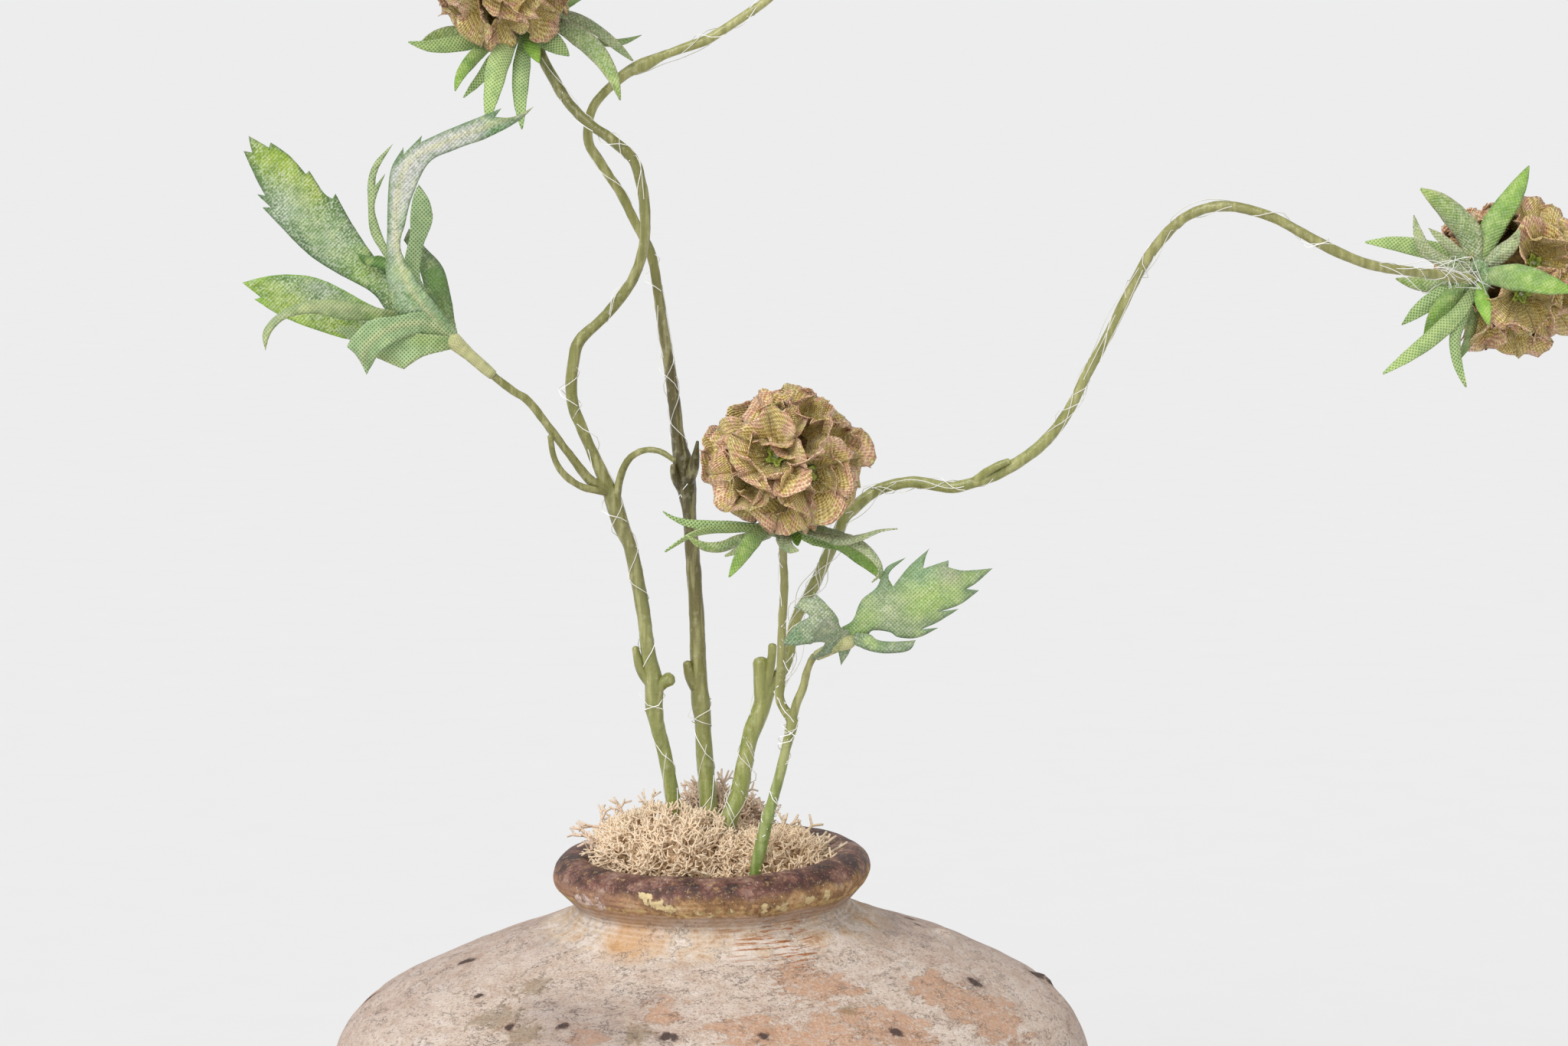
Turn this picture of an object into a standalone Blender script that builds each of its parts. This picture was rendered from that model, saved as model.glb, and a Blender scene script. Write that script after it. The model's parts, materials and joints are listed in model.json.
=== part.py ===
"""A scabiosa arrangement in a stoneware jar: four winding stems with four ruffled seed heads,
their green collars and two leaf sprays, held by a foam plug under a heap of reindeer moss.

The jar's base is centred on the origin and +Z is up. Sizes are in millimetres until a mesh is made.
"""

import math
import random

import bmesh
import bpy
from mathutils import Matrix, Vector
from mathutils.geometry import delaunay_2d_cdt

MM = 0.001
GAP = 0.4  # between a piece and what it stands in or rests on
MOSS_GAP = 0.8
STEM_SIDES = 6
STEM_STEP = 8.0
HOLE_SIDES = 8

# The jar, as (radius, height) pairs.
JAR_SIDES = 32
RIM_HEIGHT = 184.0
RIM_RADIUS = 41.8
RIM_HALF_WIDTH = 6.9
RIM_HALF_HEIGHT = 6.2
RIM_ARC_STEPS = 6
JAR_OUTSIDE = [
    (66.0, 0.0), (69.0, 2.5), (84.0, 27.0), (103.0, 63.0), (114.0, 95.0), (117.2, 113.0), (116.8, 123.5),
    (114.5, 132.0), (110.0, 139.2), (103.0, 145.2), (84.0, 155.0), (60.0, 164.2), (50.0, 168.0),
    (44.5, 170.7), (41.6, 174.4),
]
JAR_INSIDE = [
    (35.2, 176.0), (38.0, 169.0), (60.0, 158.0), (92.0, 145.0), (108.0, 131.0), (111.0, 114.0),
    (97.0, 63.0), (66.0, 12.0), (58.0, 9.0),
]
LEAN = 0.023  # rise of the shoulder and rim to one side, per millimetre across
LEAN_FROM = 122.0
LEAN_OVER = 44.0

# The filling of the neck.
FOAM_TOP = 181.0
FOAM_PROFILE = [(32.0, 134.0), (36.0, 140.0), (37.0, 162.0), (34.6, 172.0), (34.6, FOAM_TOP)]
FOAM_SIDES = 20
HOLE_FLOOR = 141.5
STEM_FOOT = 142.0
MOSS_HEAPS = [  # (centre, radii)
    ((-13.0, -3.0, 187.0), (27.0, 27.0, 16.0)),
    ((17.0, -5.0, 183.0), (19.5, 27.0, 13.5)),
    ((1.0, 19.0, 188.0), (17.0, 14.0, 18.0)),
]
HEAP_RINGS = 7
HEAP_SIDES = 11
HEAP_LUMPS = (0.05, 0.04)  # share by which the heap's two waves swell it
MOSS_PRONGS = 26
PRONG_LENGTH = 6.5
PRONG_HALF_WIDTH = 1.5
PRONG_ROOT = 0.9  # share of the heap's radius where a prong is rooted
PRONG_FORK = 0.35
PRONG_SWAY = 0.3
PRONG_RISE = 0.25
MOSS_SEED = 14
MOUTH_RADIUS = 60.0  # a width and a height that reach well past the rim
MOUTH_FLOOR = 150.0

# The seed heads: centre and the direction in which each faces.
HEADS = {
    "middle": ((22.3, -30.0, 312.9), (0.02, -0.12, 0.99)),
    "left": ((-60.7, -2.4, 459.3), (-0.30, -0.42, 0.86)),
    "top": ((33.1, 12.0, 500.2), (0.05, -0.15, 0.98)),
    "right": ((244.0, 20.0, 364.8), (0.62, 0.78, -0.03)),
}
HEAD_DRAWS = {  # (seed, turn of the first floret)
    "middle": (3, 0.0), "left": (0, 0.4), "top": (1, 0.0), "right": (2, 1.0),
}
HEAD_SQUASH = 0.86
CORE_RADIUS = 16.5
CORE_SIDES = 8
CORE_RINGS = 6
NECK_RADIUS = 5.2
NECK_SIDES = 8
NECK_TOP = -6.0
COLLAR_BELOW = 20.0
COLLAR_THICK = 2.0
COLLAR_RADIUS = 5.4
COLLAR_SIDES = 10
STEM_IN_HEAD = 9.0
STEM_STRAIGHT = 6.0  # the stem's straight run on each side of the collar
SOCKET_BELOW = 8.0
SOCKET_CLEAR = 2.0
FLORETS = 20
FLORET_POLAR_END = math.radians(140)
FLORET_SIDES = 7
FLORET_RADIUS = 9.6
FLORET_RIM = 21.8
FLORET_FLOOR = -17.6
FLORET_DISH = 16.4
FLORET_ROOT = 4.0
FLORET_WAVE = 1.5
FLORET_SIZES = (0.92, 1.08)
FLORET_LIFTS = (-0.5, 0.9)
WAVE_SHARES = (0.5, 1.2)
FRAY = 0.4

BLADE_THICK = 0.8

# Each blade of a collar: turn of the tip about the head's axis, length, rise at the root, bend by
# the tip and sideways sweep from root to tip, in degrees and millimetres. Turn 0 points along +X,
# or upwards on the head that faces sideways.
BRACTS = {
    "middle": [
        (12, 31, -4, 10, 0), (40, 28, -8, -20, 0), (70, 30, -6, -14, 0), (103, 27, -8, -20, 0),
        (140, 24, -17, -30, 0), (162, 30, 0, -16, 0), (187, 34, -3, 24, 0), (200, 34, 1, -16, -6),
        (205, 28, -12, 24, 8), (242, 31, -9, -10, 0), (281, 18, 4, -20, 0), (323, 33, 5, -50, 10),
        (330, 38, -2, -30, 0), (342, 33, -7, 26, 0),
    ],
    "left": [
        (170, 34, 6, -10, -6), (168, 37, -5, 10, 12), (231, 33, 4, -20, 12), (234, 33, -3, -10, 4),
        (245, 34, -17, -10, 8), (257, 35, -31, 0, 0), (277, 18, -5, -20, 0), (301, 22, 3, -30, 0),
        (310, 40, -10, -40, -28), (334, 33, -9, -30, -16), (22, 34, -36, 10, 0), (62, 30, -8, -20, 0),
        (112, 31, -8, -24, 0),
    ],
    "top": [
        (5, 33, 0, -36, 8), (38, 26, -6, -40, 0), (66, 34, 2, -30, -8), (98, 26, -8, -44, 0),
        (126, 33, 0, -34, 10), (155, 32, -4, -46, 0), (186, 34, 2, -28, -10), (214, 25, -10, -50, 0),
        (240, 33, -6, -50, 8), (270, 28, -14, -54, 0), (300, 34, -4, -40, -8), (332, 33, -8, -48, 0),
    ],
    "right": [
        (31, 38, -15, 0, 0), (46, 20, -28, 10, 0), (95, 34, -9, -20, 0), (148, 20, -31, -30, 0),
        (171, 34, -23, -10, -26), (176, 27, -24, -20, 8), (207, 25, -50, 0, 0), (224, 41, -5, -10, 8),
        (227, 26, -45, 0, -6), (267, 24, -13, 0, 0), (284, 35, -15, 0, -12), (306, 27, -25, 40, 22),
        (323, 22, -37, -20, 0), (337, 33, -24, -30, -20),
    ],
}
BRACT_HALF_WIDTH = 3.8
SHORT_BRACT_WIDTH = 0.75  # share of the full width that the shortest blade would keep
LONGEST_BRACT = 41.0
BRACT_START = 2.4
BRACT_SHAPE = [(0.0, 0.5), (0.34, 1.0), (0.68, 0.76), (1.0, 0.0)]  # (share of length, share of width)

# Stem routes: (x, y, z, radius) from the foot to the tip.
STEM_LEFT = [
    (-8.5, 3.0, STEM_FOOT, 2.1), (-9.0, 4.0, 180, 2.1), (-11.5, 4.0, 202, 2.2), (-14.6, 3.0, 220, 2.1),
    (-16.6, 2.0, 228, 2.2), (-17.6, 2.0, 234, 2.7), (-17.6, 1.0, 242, 2.9), (-19.4, 0.0, 252, 2.2),
    (-20.8, 0.0, 264, 2.1), (-22.7, -1.0, 275, 2.2), (-24.6, -2.0, 284, 2.1), (-27.0, -3.0, 290, 2.4),
    (-29.2, -3.6, 297, 2.5), (-30.8, -4.0, 302, 2.2), (-34.0, -4.0, 309, 1.8), (-38.8, -3.0, 320, 1.7),
    (-41.6, -2.0, 327, 1.8), (-42.2, -2.0, 334, 1.7), (-41.4, -2.0, 341, 1.7), (-39.6, -2.0, 347, 1.8),
    (-32.3, -3.0, 354, 1.6), (-25.7, -4.0, 362, 1.6), (-21.9, -5.0, 369, 1.6), (-19.7, -6.0, 378, 1.6),
    (-19.7, -6.0, 388, 1.6), (-20.8, -6.0, 395, 1.6), (-23.2, -6.0, 402, 1.7), (-29.9, -5.0, 408, 1.6),
    (-35.7, -4.0, 412, 1.5), (-42.2, -1.0, 418, 1.6), (-46.2, 2.0, 424, 1.6), (-50.2, 4.6, 431, 1.6),
]
LEFT_LEAF_TWIG = [
    (-28.4, -3.4, 297, 1.3), (-31.4, -4.6, 302, 1.7), (-36.4, -6.2, 305, 1.5), (-41.7, -8.0, 312, 1.3),
    (-48.2, -10.0, 321, 1.2), (-54.4, -12.8, 329.6, 1.2), (-58.8, -14.6, 332.9, 1.2),
    (-62.8, -16.05, 336.1, 1.2), (-67.0, -17.6, 340, 1.2),
]
LEFT_TENDRIL = [
    (-30.6, -4.6, 301, 1.1), (-35.0, -7.4, 302.2, 1.1), (-40.0, -9.6, 304, 1.0), (-44.6, -10.6, 308, 1.0),
    (-47.2, -11.6, 313, 0.9), (-48.0, -12.6, 319, 0.9),
]
LEFT_ARCH_TWIG = [
    (-28.9, -4.0, 297, 1.2), (-27.6, -5.6, 305, 1.2), (-25.2, -8.0, 311, 1.1), (-21.4, -10.0, 314.2, 1.0),
    (-17.3, -12.0, 315, 0.9), (-13.8, -13.0, 314, 0.9), (-10.9, -13.6, 312, 0.8),
]
LEFT_CUT_RIGHT = [(-17.6, 1.0, 239, 2.0), (-14.8, 0.0, 242, 1.9), (-12.9, -0.4, 243.2, 2.2)]
LEFT_CUT_LEFT = [(-18.4, 1.0, 241, 1.6), (-21.6, 0.2, 246, 1.5), (-23.2, 0.0, 252.6, 1.1)]

STEM_TALL = [
    (-0.5, 14.0, STEM_FOOT, 2.8), (-0.5, 10.0, 176, 2.8), (-0.8, 8.0, 197, 2.8), (-2.4, 8.0, 219, 2.6),
    (-2.9, 8.0, 229, 2.6), (-3.4, 8.0, 234, 2.9), (-4.0, 8.0, 241, 2.5), (-4.7, 8.0, 262, 2.3),
    (-5.7, 8.0, 278, 2.3), (-6.6, 8.0, 290, 2.1), (-7.0, 8.0, 295, 2.3), (-7.8, 8.0, 302, 3.0),
    (-8.6, 8.0, 308, 3.2), (-10.0, 8.0, 315, 2.2), (-11.1, 8.0, 325, 1.9), (-12.9, 8.0, 339, 1.7),
    (-14.8, 8.0, 351, 1.6), (-16.2, 8.0, 361, 1.5), (-18.1, 8.0, 372, 1.5), (-22.0, 8.0, 380, 1.4),
    (-26.9, 8.0, 390, 1.4), (-30.5, 8.0, 395.5, 1.4), (-34.6, 8.0, 402, 1.4), (-36.9, 8.0, 406, 1.5),
    (-37.0, 8.0, 412, 1.4), (-35.4, 8.0, 417, 1.4), (-33.0, 8.0, 420.2, 1.4), (-29.4, 9.0, 423.6, 1.5),
    (-25.1, 10.0, 427.2, 1.7), (-20.4, 11.0, 429.4, 2.0), (-14.6, 12.0, 432, 1.4),
    (-7.6, 12.0, 434.6, 1.4), (-1.6, 12.0, 436.6, 1.5), (4.0, 12.0, 440, 1.4), (10.6, 12.0, 444.4, 1.4),
    (17.2, 12.0, 449, 1.4), (23.5, 12.0, 455.7, 1.5), (28.4, 13.0, 463.7, 1.4), (31.2, 14.4, 471.6, 1.4),
]
TALL_SPIKE = [(-7.6, 7.0, 302, 1.9), (-5.4, 4.6, 308, 1.8), (-4.2, 3.2, 315.6, 0.5)]
TALL_BUMP = [(-8.6, 7.0, 300, 1.6), (-11.0, 5.4, 304.6, 1.5), (-11.6, 5.0, 308, 0.9)]
TALL_BUD = [(-4.4, 8.0, 238, 1.8), (-6.6, 6.8, 242.6, 1.7), (-7.5, 6.4, 246.8, 1.4)]

STEM_RIGHT = [
    (3.0, -9.0, STEM_FOOT, 2.5), (3.4, -4.5, 176, 2.5), (4.4, -2.0, 196.4, 2.6), (8.0, 0.0, 206.5, 2.7),
    (10.6, 2.0, 219.7, 2.4), (12.2, 3.0, 226.2, 2.6), (14.8, 4.0, 232.5, 2.8), (16.9, 5.0, 239.1, 2.6),
    (20.2, 6.4, 243.0, 1.9), (23.3, 8.0, 248.4, 1.7), (25.7, 9.0, 259.9, 1.7), (31.0, 10.0, 269.9, 1.7),
    (35.7, 10.0, 280.3, 1.7), (40.1, 10.0, 290.5, 1.7), (42.9, 10.0, 293.8, 1.8),
    (46.4, 10.0, 297.0, 1.9), (51.4, 10.0, 300.3, 1.7), (58.3, 9.0, 302.3, 1.8), (63.6, 8.0, 302.6, 1.8),
    (68.4, 8.0, 301.7, 1.7), (73.7, 7.0, 301.2, 1.8), (80.7, 6.0, 303.0, 1.7), (87.6, 5.0, 305.8, 1.8),
    (96.5, 3.0, 311.6, 1.7), (101.8, 2.0, 316.5, 1.7), (106.5, 1.0, 322.4, 1.7), (109.9, 0.0, 328.4, 1.5),
    (112.9, 0.0, 335.1, 1.6), (119.1, -2.0, 347.1, 1.5), (125.3, -4.0, 360.3, 1.5),
    (130.3, -6.0, 370.7, 1.5), (135.2, -8.0, 378.0, 1.6), (140.8, -10.0, 383.9, 1.5),
    (147.5, -12.0, 387.4, 1.5), (153.6, -13.0, 388.3, 1.6), (160.2, -14.0, 387.4, 1.5),
    (167.8, -15.0, 385.0, 1.5), (175.4, -16.0, 381.0, 1.5), (183.2, -16.0, 376.7, 1.6),
    (190.9, -16.0, 373.1, 1.5), (199.0, -15.0, 370.4, 1.5), (209.7, -11.0, 368.6, 1.5),
    (218.6, -5.6, 367.2, 1.5),
]
RIGHT_LOPPED = [(15.6, 4.0, 234, 2.4), (15.4, 4.0, 240, 2.6), (15.1, 4.0, 247.6, 2.5)]
RIGHT_CUT_TWIG = [(16.8, 3.6, 241, 1.5), (18.0, 2.4, 247, 1.3), (18.6, 1.8, 253, 1.3)]
RIGHT_CUT_TIP = [(80.0, 6.0, 303, 1.4), (85.0, 3.4, 307.2, 1.2), (90.2, 2.4, 309.8, 1.0)]

STEM_SHORT = [
    (12.0, -23.0, STEM_FOOT, 1.9), (12.6, -25.0, 174, 1.9), (13.5, -26.0, 188.4, 1.9),
    (15.6, -26.0, 198.2, 1.9), (17.4, -27.0, 206.4, 1.8), (19.0, -27.0, 211.8, 1.6),
    (21.4, -28.0, 221.1, 1.5), (23.0, -28.0, 228.1, 1.5), (24.6, -29.0, 235.2, 1.8),
    (22.4, -29.0, 238.6, 1.5), (20.8, -29.0, 242.4, 1.4), (21.1, -29.0, 248.0, 1.4),
    (21.4, -29.0, 258.0, 1.3), (21.6, -28.8, 266.0, 1.3), (22.2, -28.2, 276.0, 1.2),
    (22.0, -27.6, 283.0, 1.2),
]
SHORT_LEAF_TWIG = [
    (23.6, -28.6, 232, 1.4), (25.6, -30.0, 240.1, 1.3), (27.7, -31.0, 245.6, 1.2),
    (29.0, -32.0, 251.0, 1.1), (31.0, -33.0, 255.4, 1.1), (34.2, -34.4, 257.2, 1.1),
]

# Leaf blades. A rib is a route in space; an edge is the blade's outline as seen from the front, (x, z).
LEFT_LEAF_SEAT = (-76.3, -21.0, 348.7)
LEFT_LEAF_FROM = (-67.0, -17.6, 340.0)
PAIR_SEAT = (41.0, -37.4, 261.0)
PAIR_FROM = (34.2, -34.4, 257.2)

BIG_LEAF = {
    "rib": [
        LEFT_LEAF_SEAT, (-88, -17, 358), (-97, -14, 365.5), (-106.5, -13, 373.5), (-118.5, -15, 386),
        (-128.5, -18, 399.5), (-136.5, -20, 409.5),
    ],
    "edge": [
        (-77, 351.5), (-84.5, 357), (-91.5, 364), (-96.5, 368.5), (-100.5, 373.5), (-106.5, 382.5),
        (-111.5, 392), (-112.5, 390.5), (-115, 392.5), (-119, 399), (-120, 398), (-124.5, 403.5),
        (-130, 407.5), (-130.5, 406), (-136.5, 409.5), (-135.5, 404.5), (-138, 405), (-134.5, 396.5),
        (-132, 391.5), (-134.5, 392), (-130.5, 388), (-133, 388), (-129, 383.5), (-120, 374), (-111, 368),
        (-101, 362.5), (-96, 356.5), (-88, 350.5), (-77, 347),
    ],
}
LOW_LEAF = {
    "rib": [
        LEFT_LEAF_SEAT, (-88.5, -16, 354.5), (-98, -14, 355.5), (-109, -15, 357.5), (-118.5, -17, 360),
        (-130.5, -19, 364), (-139, -20, 366),
    ],
    "edge": [
        (-76.5, 350.5), (-82, 353.5), (-91.5, 356.5), (-99.5, 358), (-109.5, 363.5), (-115.5, 366.5),
        (-121.5, 368), (-130.5, 368), (-139, 366), (-133.5, 361.5), (-135.5, 361), (-128, 356),
        (-117.5, 351.5), (-107.5, 348.5), (-97.5, 349.5), (-88.5, 350), (-76.5, 346.5),
    ],
}
CURLED_LEAF = {
    "rib": [
        LEFT_LEAF_SEAT, (-91, -20, 356.5), (-97.5, -23, 357.5), (-108, -26, 359), (-117.5, -29, 359.5),
        (-125, -32, 357), (-130, -33, 353), (-130.5, -32, 347),
    ],
    "edge": [
        (-76, 350.5), (-84.5, 354.5), (-91, 357), (-97.5, 358.5), (-103.5, 360), (-111.5, 361.5),
        (-120.5, 361), (-127.5, 357.5), (-131.5, 352.5), (-131, 347), (-129, 352.5), (-124.5, 356.5),
        (-117, 357.5), (-108.5, 355.5), (-100, 355), (-91, 354), (-76, 347.5),
    ],
}
FRONT_LEAF = {
    "rib": [
        LEFT_LEAF_SEAT, (-82.5, -25, 354), (-89.5, -29, 354.5), (-96.5, -32, 352.5), (-101.5, -32, 348),
        (-102.5, -30, 342.5),
    ],
    "edge": [
        (-75.5, 350.5), (-84, 357.5), (-92, 357), (-99.5, 356), (-104.5, 352), (-107, 348), (-104, 345),
        (-101.5, 339.5), (-97, 346.5), (-91.5, 350), (-86, 351.5), (-83, 350.5), (-75.5, 347),
    ],
}
LONG_LEAF = {
    "rib": [
        LEFT_LEAF_SEAT, (-84, -26, 358.5), (-89, -28, 366), (-92, -29, 376), (-92.5, -29, 385.5),
        (-91, -29, 396.5), (-87, -28, 403.5), (-77, -28, 408.5), (-65, -28, 413), (-51.5, -28, 418.5),
    ],
    "edge": [
        (-75, 350), (-76, 353), (-82, 361.5), (-85.5, 366), (-91, 376.5), (-89.5, 384.5), (-87.5, 392),
        (-82.5, 402), (-74.5, 406), (-65, 409.5), (-56.5, 414), (-51.5, 418.5), (-57.5, 415.5),
        (-63, 415.5), (-61, 418), (-70, 414.5), (-78.5, 411), (-85, 408), (-84.5, 410), (-90, 404.5),
        (-90, 406.5), (-93.5, 400.5), (-94.5, 393), (-95, 380.5), (-95.5, 368.5), (-94, 361),
        (-90.5, 355.5), (-81.5, 351), (-77, 347.5),
    ],
}
LOOP_LEAF = {
    "rib": [
        LEFT_LEAF_SEAT, (-82.5, -22, 358), (-87.5, -22, 368), (-87.5, -20, 377.5), (-86, -18, 385),
        (-86.5, -14, 390.5), (-88.5, -9, 395),
    ],
    "edge": [
        (-75, 350), (-76, 353.5), (-81.5, 358), (-84.5, 364.5), (-86, 369), (-85, 377), (-82.5, 384),
        (-83.5, 390), (-87, 394.5), (-88.5, 390.5), (-89, 385), (-89, 380), (-90.5, 373), (-90, 366),
        (-84.5, 357), (-78, 349),
    ],
}
SLIM_LEAF = {
    "rib": [
        LEFT_LEAF_SEAT, (-82, -20, 354), (-89, -18, 364), (-94.5, -17.5, 372), (-98.5, -17, 378.5),
        (-100.5, -17, 386), (-100.5, -17, 393), (-99, -16, 400), (-94, -15, 407),
    ],
    "edge": [
        (-76.5, 351), (-85, 360), (-90.5, 367.5), (-95.5, 375.5), (-98.5, 383), (-99.5, 389.5),
        (-96.5, 398), (-99.5, 394.5), (-98.5, 399.5), (-94, 407), (-99.5, 401.5), (-101.5, 396),
        (-101.5, 388.5), (-101, 381), (-97.5, 374.5), (-92.5, 366.5), (-87, 356.5), (-78, 348.5),
    ],
}
DARK_LEAF = {
    "rib": [
        LEFT_LEAF_SEAT, (-78, -15, 356.5), (-81, -11, 364), (-84.5, -8, 371), (-90.5, -5, 380),
    ],
    "edge": [
        (-75, 350), (-76, 353.5), (-77.5, 361), (-80, 369.5), (-85.5, 375.5), (-90.5, 381), (-92, 377.5),
        (-89, 373), (-86.5, 367), (-84.5, 361), (-79, 354.5), (-78, 349.5),
    ],
}
UNDER_LEAF = {
    "rib": [
        LEFT_LEAF_SEAT, (-81.5, -26, 347.5), (-87.5, -28, 346.5), (-93.5, -28, 346.5), (-100, -24, 348.5),
        (-106.5, -20, 350.5), (-113, -17, 351.5),
    ],
    "edge": [
        (-76, 350), (-86, 351.5), (-93.5, 351.5), (-105, 352.5), (-110, 352.5), (-113, 351.5),
        (-109, 350), (-103, 346), (-94.5, 342.5), (-90.5, 341), (-88.5, 342.5), (-84, 345), (-76, 346.5),
    ],
}
SIDE_TOOTH = {
    "rib": [
        (-87.5, -18.4, 361), (-96, -17, 370.5), (-101, -16, 372.5), (-105, -16, 374.5),
    ],
    "edge": [
        (-87, 364), (-96.5, 373), (-101, 373.5), (-105, 374.5), (-103.5, 371.5), (-101, 370.5),
        (-96.5, 369), (-88.5, 361),
    ],
}
LOBED_LEAF = {
    "rib": [
        PAIR_SEAT, (46, -39.5, 267), (53.5, -41, 271.5), (63, -43.5, 276), (72, -44.5, 280),
        (83.5, -43, 283.5),
    ],
    "edge": [
        (39, 265), (42.5, 267.5), (45, 273.5), (49.5, 277.5), (52.5, 283.5), (58, 286.5), (53.5, 282.5),
        (53, 280), (53.5, 278), (54.5, 278), (58.5, 283.5), (65, 289.5), (64, 287.5), (63, 283.5),
        (70.5, 286), (70.5, 284), (75.5, 283), (83.5, 283.5), (79, 279.5), (75.5, 277.5), (79.5, 277),
        (74, 273), (67.5, 270.5), (73.5, 271.5), (67.5, 267.5), (62.5, 265), (67.5, 265.5), (61.5, 262.5),
        (56, 262.5), (53.5, 264), (48.5, 264.5), (47, 263), (44, 260.5), (40, 259.5),
    ],
}
LOW_LOBE = {
    "rib": [
        PAIR_SEAT, (47, -40.5, 261), (53.5, -42, 260), (61, -43, 262),
    ],
    "edge": [
        (40.5, 263.5), (47, 263.5), (49.5, 262), (53.5, 261.5), (61, 262), (59, 259), (53, 258),
        (47.5, 258.5), (42.5, 260), (40, 259.5),
    ],
}
BACK_LEAF = {
    "rib": [
        PAIR_SEAT, (37.5, -43, 266.5), (34, -46, 270), (29.5, -46, 270.5), (25, -44, 269.5),
    ],
    "edge": [
        (41.5, 264.5), (39, 265.5), (37.5, 269.5), (34, 274), (30.5, 277), (31.5, 275), (28, 275),
        (25, 272), (29, 270.5), (29.5, 269.5), (25, 266), (21.5, 261), (25, 260.5), (31.5, 261.5),
        (34.5, 261), (33, 258), (29.5, 255), (35.5, 257), (38, 259.5), (39, 253.5), (41.5, 257.5),
        (42, 260),
    ],
}
LEFT_SPRAY = [
    BIG_LEAF, LOW_LEAF, CURLED_LEAF, FRONT_LEAF, LONG_LEAF, LOOP_LEAF, SLIM_LEAF, DARK_LEAF, UNDER_LEAF,
    SIDE_TOOTH,
]
LEAF_PAIR = [LOBED_LEAF, LOW_LOBE, BACK_LEAF]
RIB_STEP = 8.0
RIB_CLEAR = 2.0
RIB_FINE_STEP = 2.0
LEAF_CUP = 0.012  # how fast a blade bends back away from its rib
SLEEVE_RADIUS = 2.1
SLEEVE_LENGTH = 3.0
SLEEVE_SIDES = 8
SLEEVE_MOUTH = 0.8  # share of the sleeve's radius at its open end
KNOB_RADIUS = 2.6
KNOB_PAST = 1.0
HOLE_PAST = 1.2

# Colours are linear; the last two values are roughness and metallic.
FINISHES = {
    "stoneware": ((0.50, 0.40, 0.32), 0.85, 0.0),
    "foam": ((0.20, 0.26, 0.14), 0.95, 0.0),
    "moss": ((0.68, 0.55, 0.40), 0.95, 0.0),
    "stem": ((0.28, 0.28, 0.10), 0.40, 0.0),
    "floret": ((0.36, 0.23, 0.12), 0.55, 0.0),
    "collar": ((0.22, 0.36, 0.12), 0.80, 0.0),
    "leaf": ((0.24, 0.36, 0.14), 0.80, 0.0),
}


def clear_scene():
    for item in list(bpy.data.objects):
        bpy.data.objects.remove(item, do_unlink=True)


def finish_of(kind):
    """The material of that kind, made on its first use."""
    if kind in bpy.data.materials:
        return bpy.data.materials[kind]
    colour, roughness, metallic = FINISHES[kind]
    made = bpy.data.materials.new(kind)
    made.use_nodes = True
    shader = made.node_tree.nodes["Principled BSDF"]
    shader.inputs["Base Color"].default_value = (*colour, 1.0)
    shader.inputs["Roughness"].default_value = roughness
    shader.inputs["Metallic"].default_value = metallic
    return made


def solid(name, points, faces, kind):
    """An object from points in millimetres and faces that point outwards."""
    mesh = bpy.data.meshes.new(name)
    mesh.from_pydata([tuple(Vector(p) * MM) for p in points], [], faces)
    mesh.materials.append(finish_of(kind))
    made = bpy.data.objects.new(name, mesh)
    bpy.context.scene.collection.objects.link(made)
    return made


def applied(item):
    """Replaces the object's mesh by the one its modifiers make."""
    graph = bpy.context.evaluated_depsgraph_get()
    mesh = bpy.data.meshes.new_from_object(item.evaluated_get(graph))
    item.modifiers.clear()
    item.data = mesh


def boolean(item, others, operation):
    """Joins the others to the object or cuts them from it, and removes them."""
    group = bpy.data.collections.new("operands")
    bpy.context.scene.collection.children.link(group)
    for other in others:
        bpy.context.scene.collection.objects.unlink(other)
        group.objects.link(other)
    step = item.modifiers.new(operation.lower(), "BOOLEAN")
    step.operand_type = "COLLECTION"
    step.collection = group
    step.operation = operation
    step.solver = "EXACT"
    applied(item)
    for other in others:
        bpy.data.objects.remove(other, do_unlink=True)
    bpy.data.collections.remove(group)


def keep_largest(item):
    """Drops loose scraps, and keeps the body with the most faces."""
    work = bmesh.new()
    work.from_mesh(item.data)
    left = set(work.verts)
    bodies = []
    while left:
        body, edge = set(), [left.pop()]
        while edge:
            point = edge.pop()
            body.add(point)
            near = [e.other_vert(point) for e in point.link_edges]
            fresh = [p for p in near if p in left]
            left.difference_update(fresh)
            edge.extend(fresh)
        bodies.append(body)
    bodies.sort(key=len)
    scraps = [point for body in bodies[:-1] for point in body]
    bmesh.ops.delete(work, geom=scraps, context="VERTS")
    work.to_mesh(item.data)
    work.free()


def shade(item):
    item.data.shade_smooth()
    item.data.set_sharp_from_angle(angle=math.radians(50))


def blend(a, b, c, d, t):
    """One coordinate of the smooth curve from b to c, whose neighbours are a and d."""
    square = 2 * a - 5 * b + 4 * c - d
    cube = 3 * b - a - 3 * c + d
    return 0.5 * (2 * b + (c - a) * t + square * t**2 + cube * t**3)


def curve_through(points, spacing):
    """Points about `spacing` apart on a smooth curve through the given ones, of any dimension."""
    ends = [points[0], *points, points[-1]]
    made = []
    for before, start, stop, after in zip(ends, ends[1:], ends[2:], ends[3:]):
        steps = max(1, round(math.dist(start[:3], stop[:3]) / spacing))
        for step in range(steps):
            t = step / steps
            made.append(tuple(blend(*four, t) for four in zip(before, start, stop, after)))
    return [*made, tuple(points[-1])]


def directions(centres):
    """The unit direction of travel at each point of a path."""
    ahead = [*centres[1:], centres[-1]]
    behind = [centres[0], *centres[:-1]]
    return [(a - b).normalized() for a, b in zip(ahead, behind)]


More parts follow.
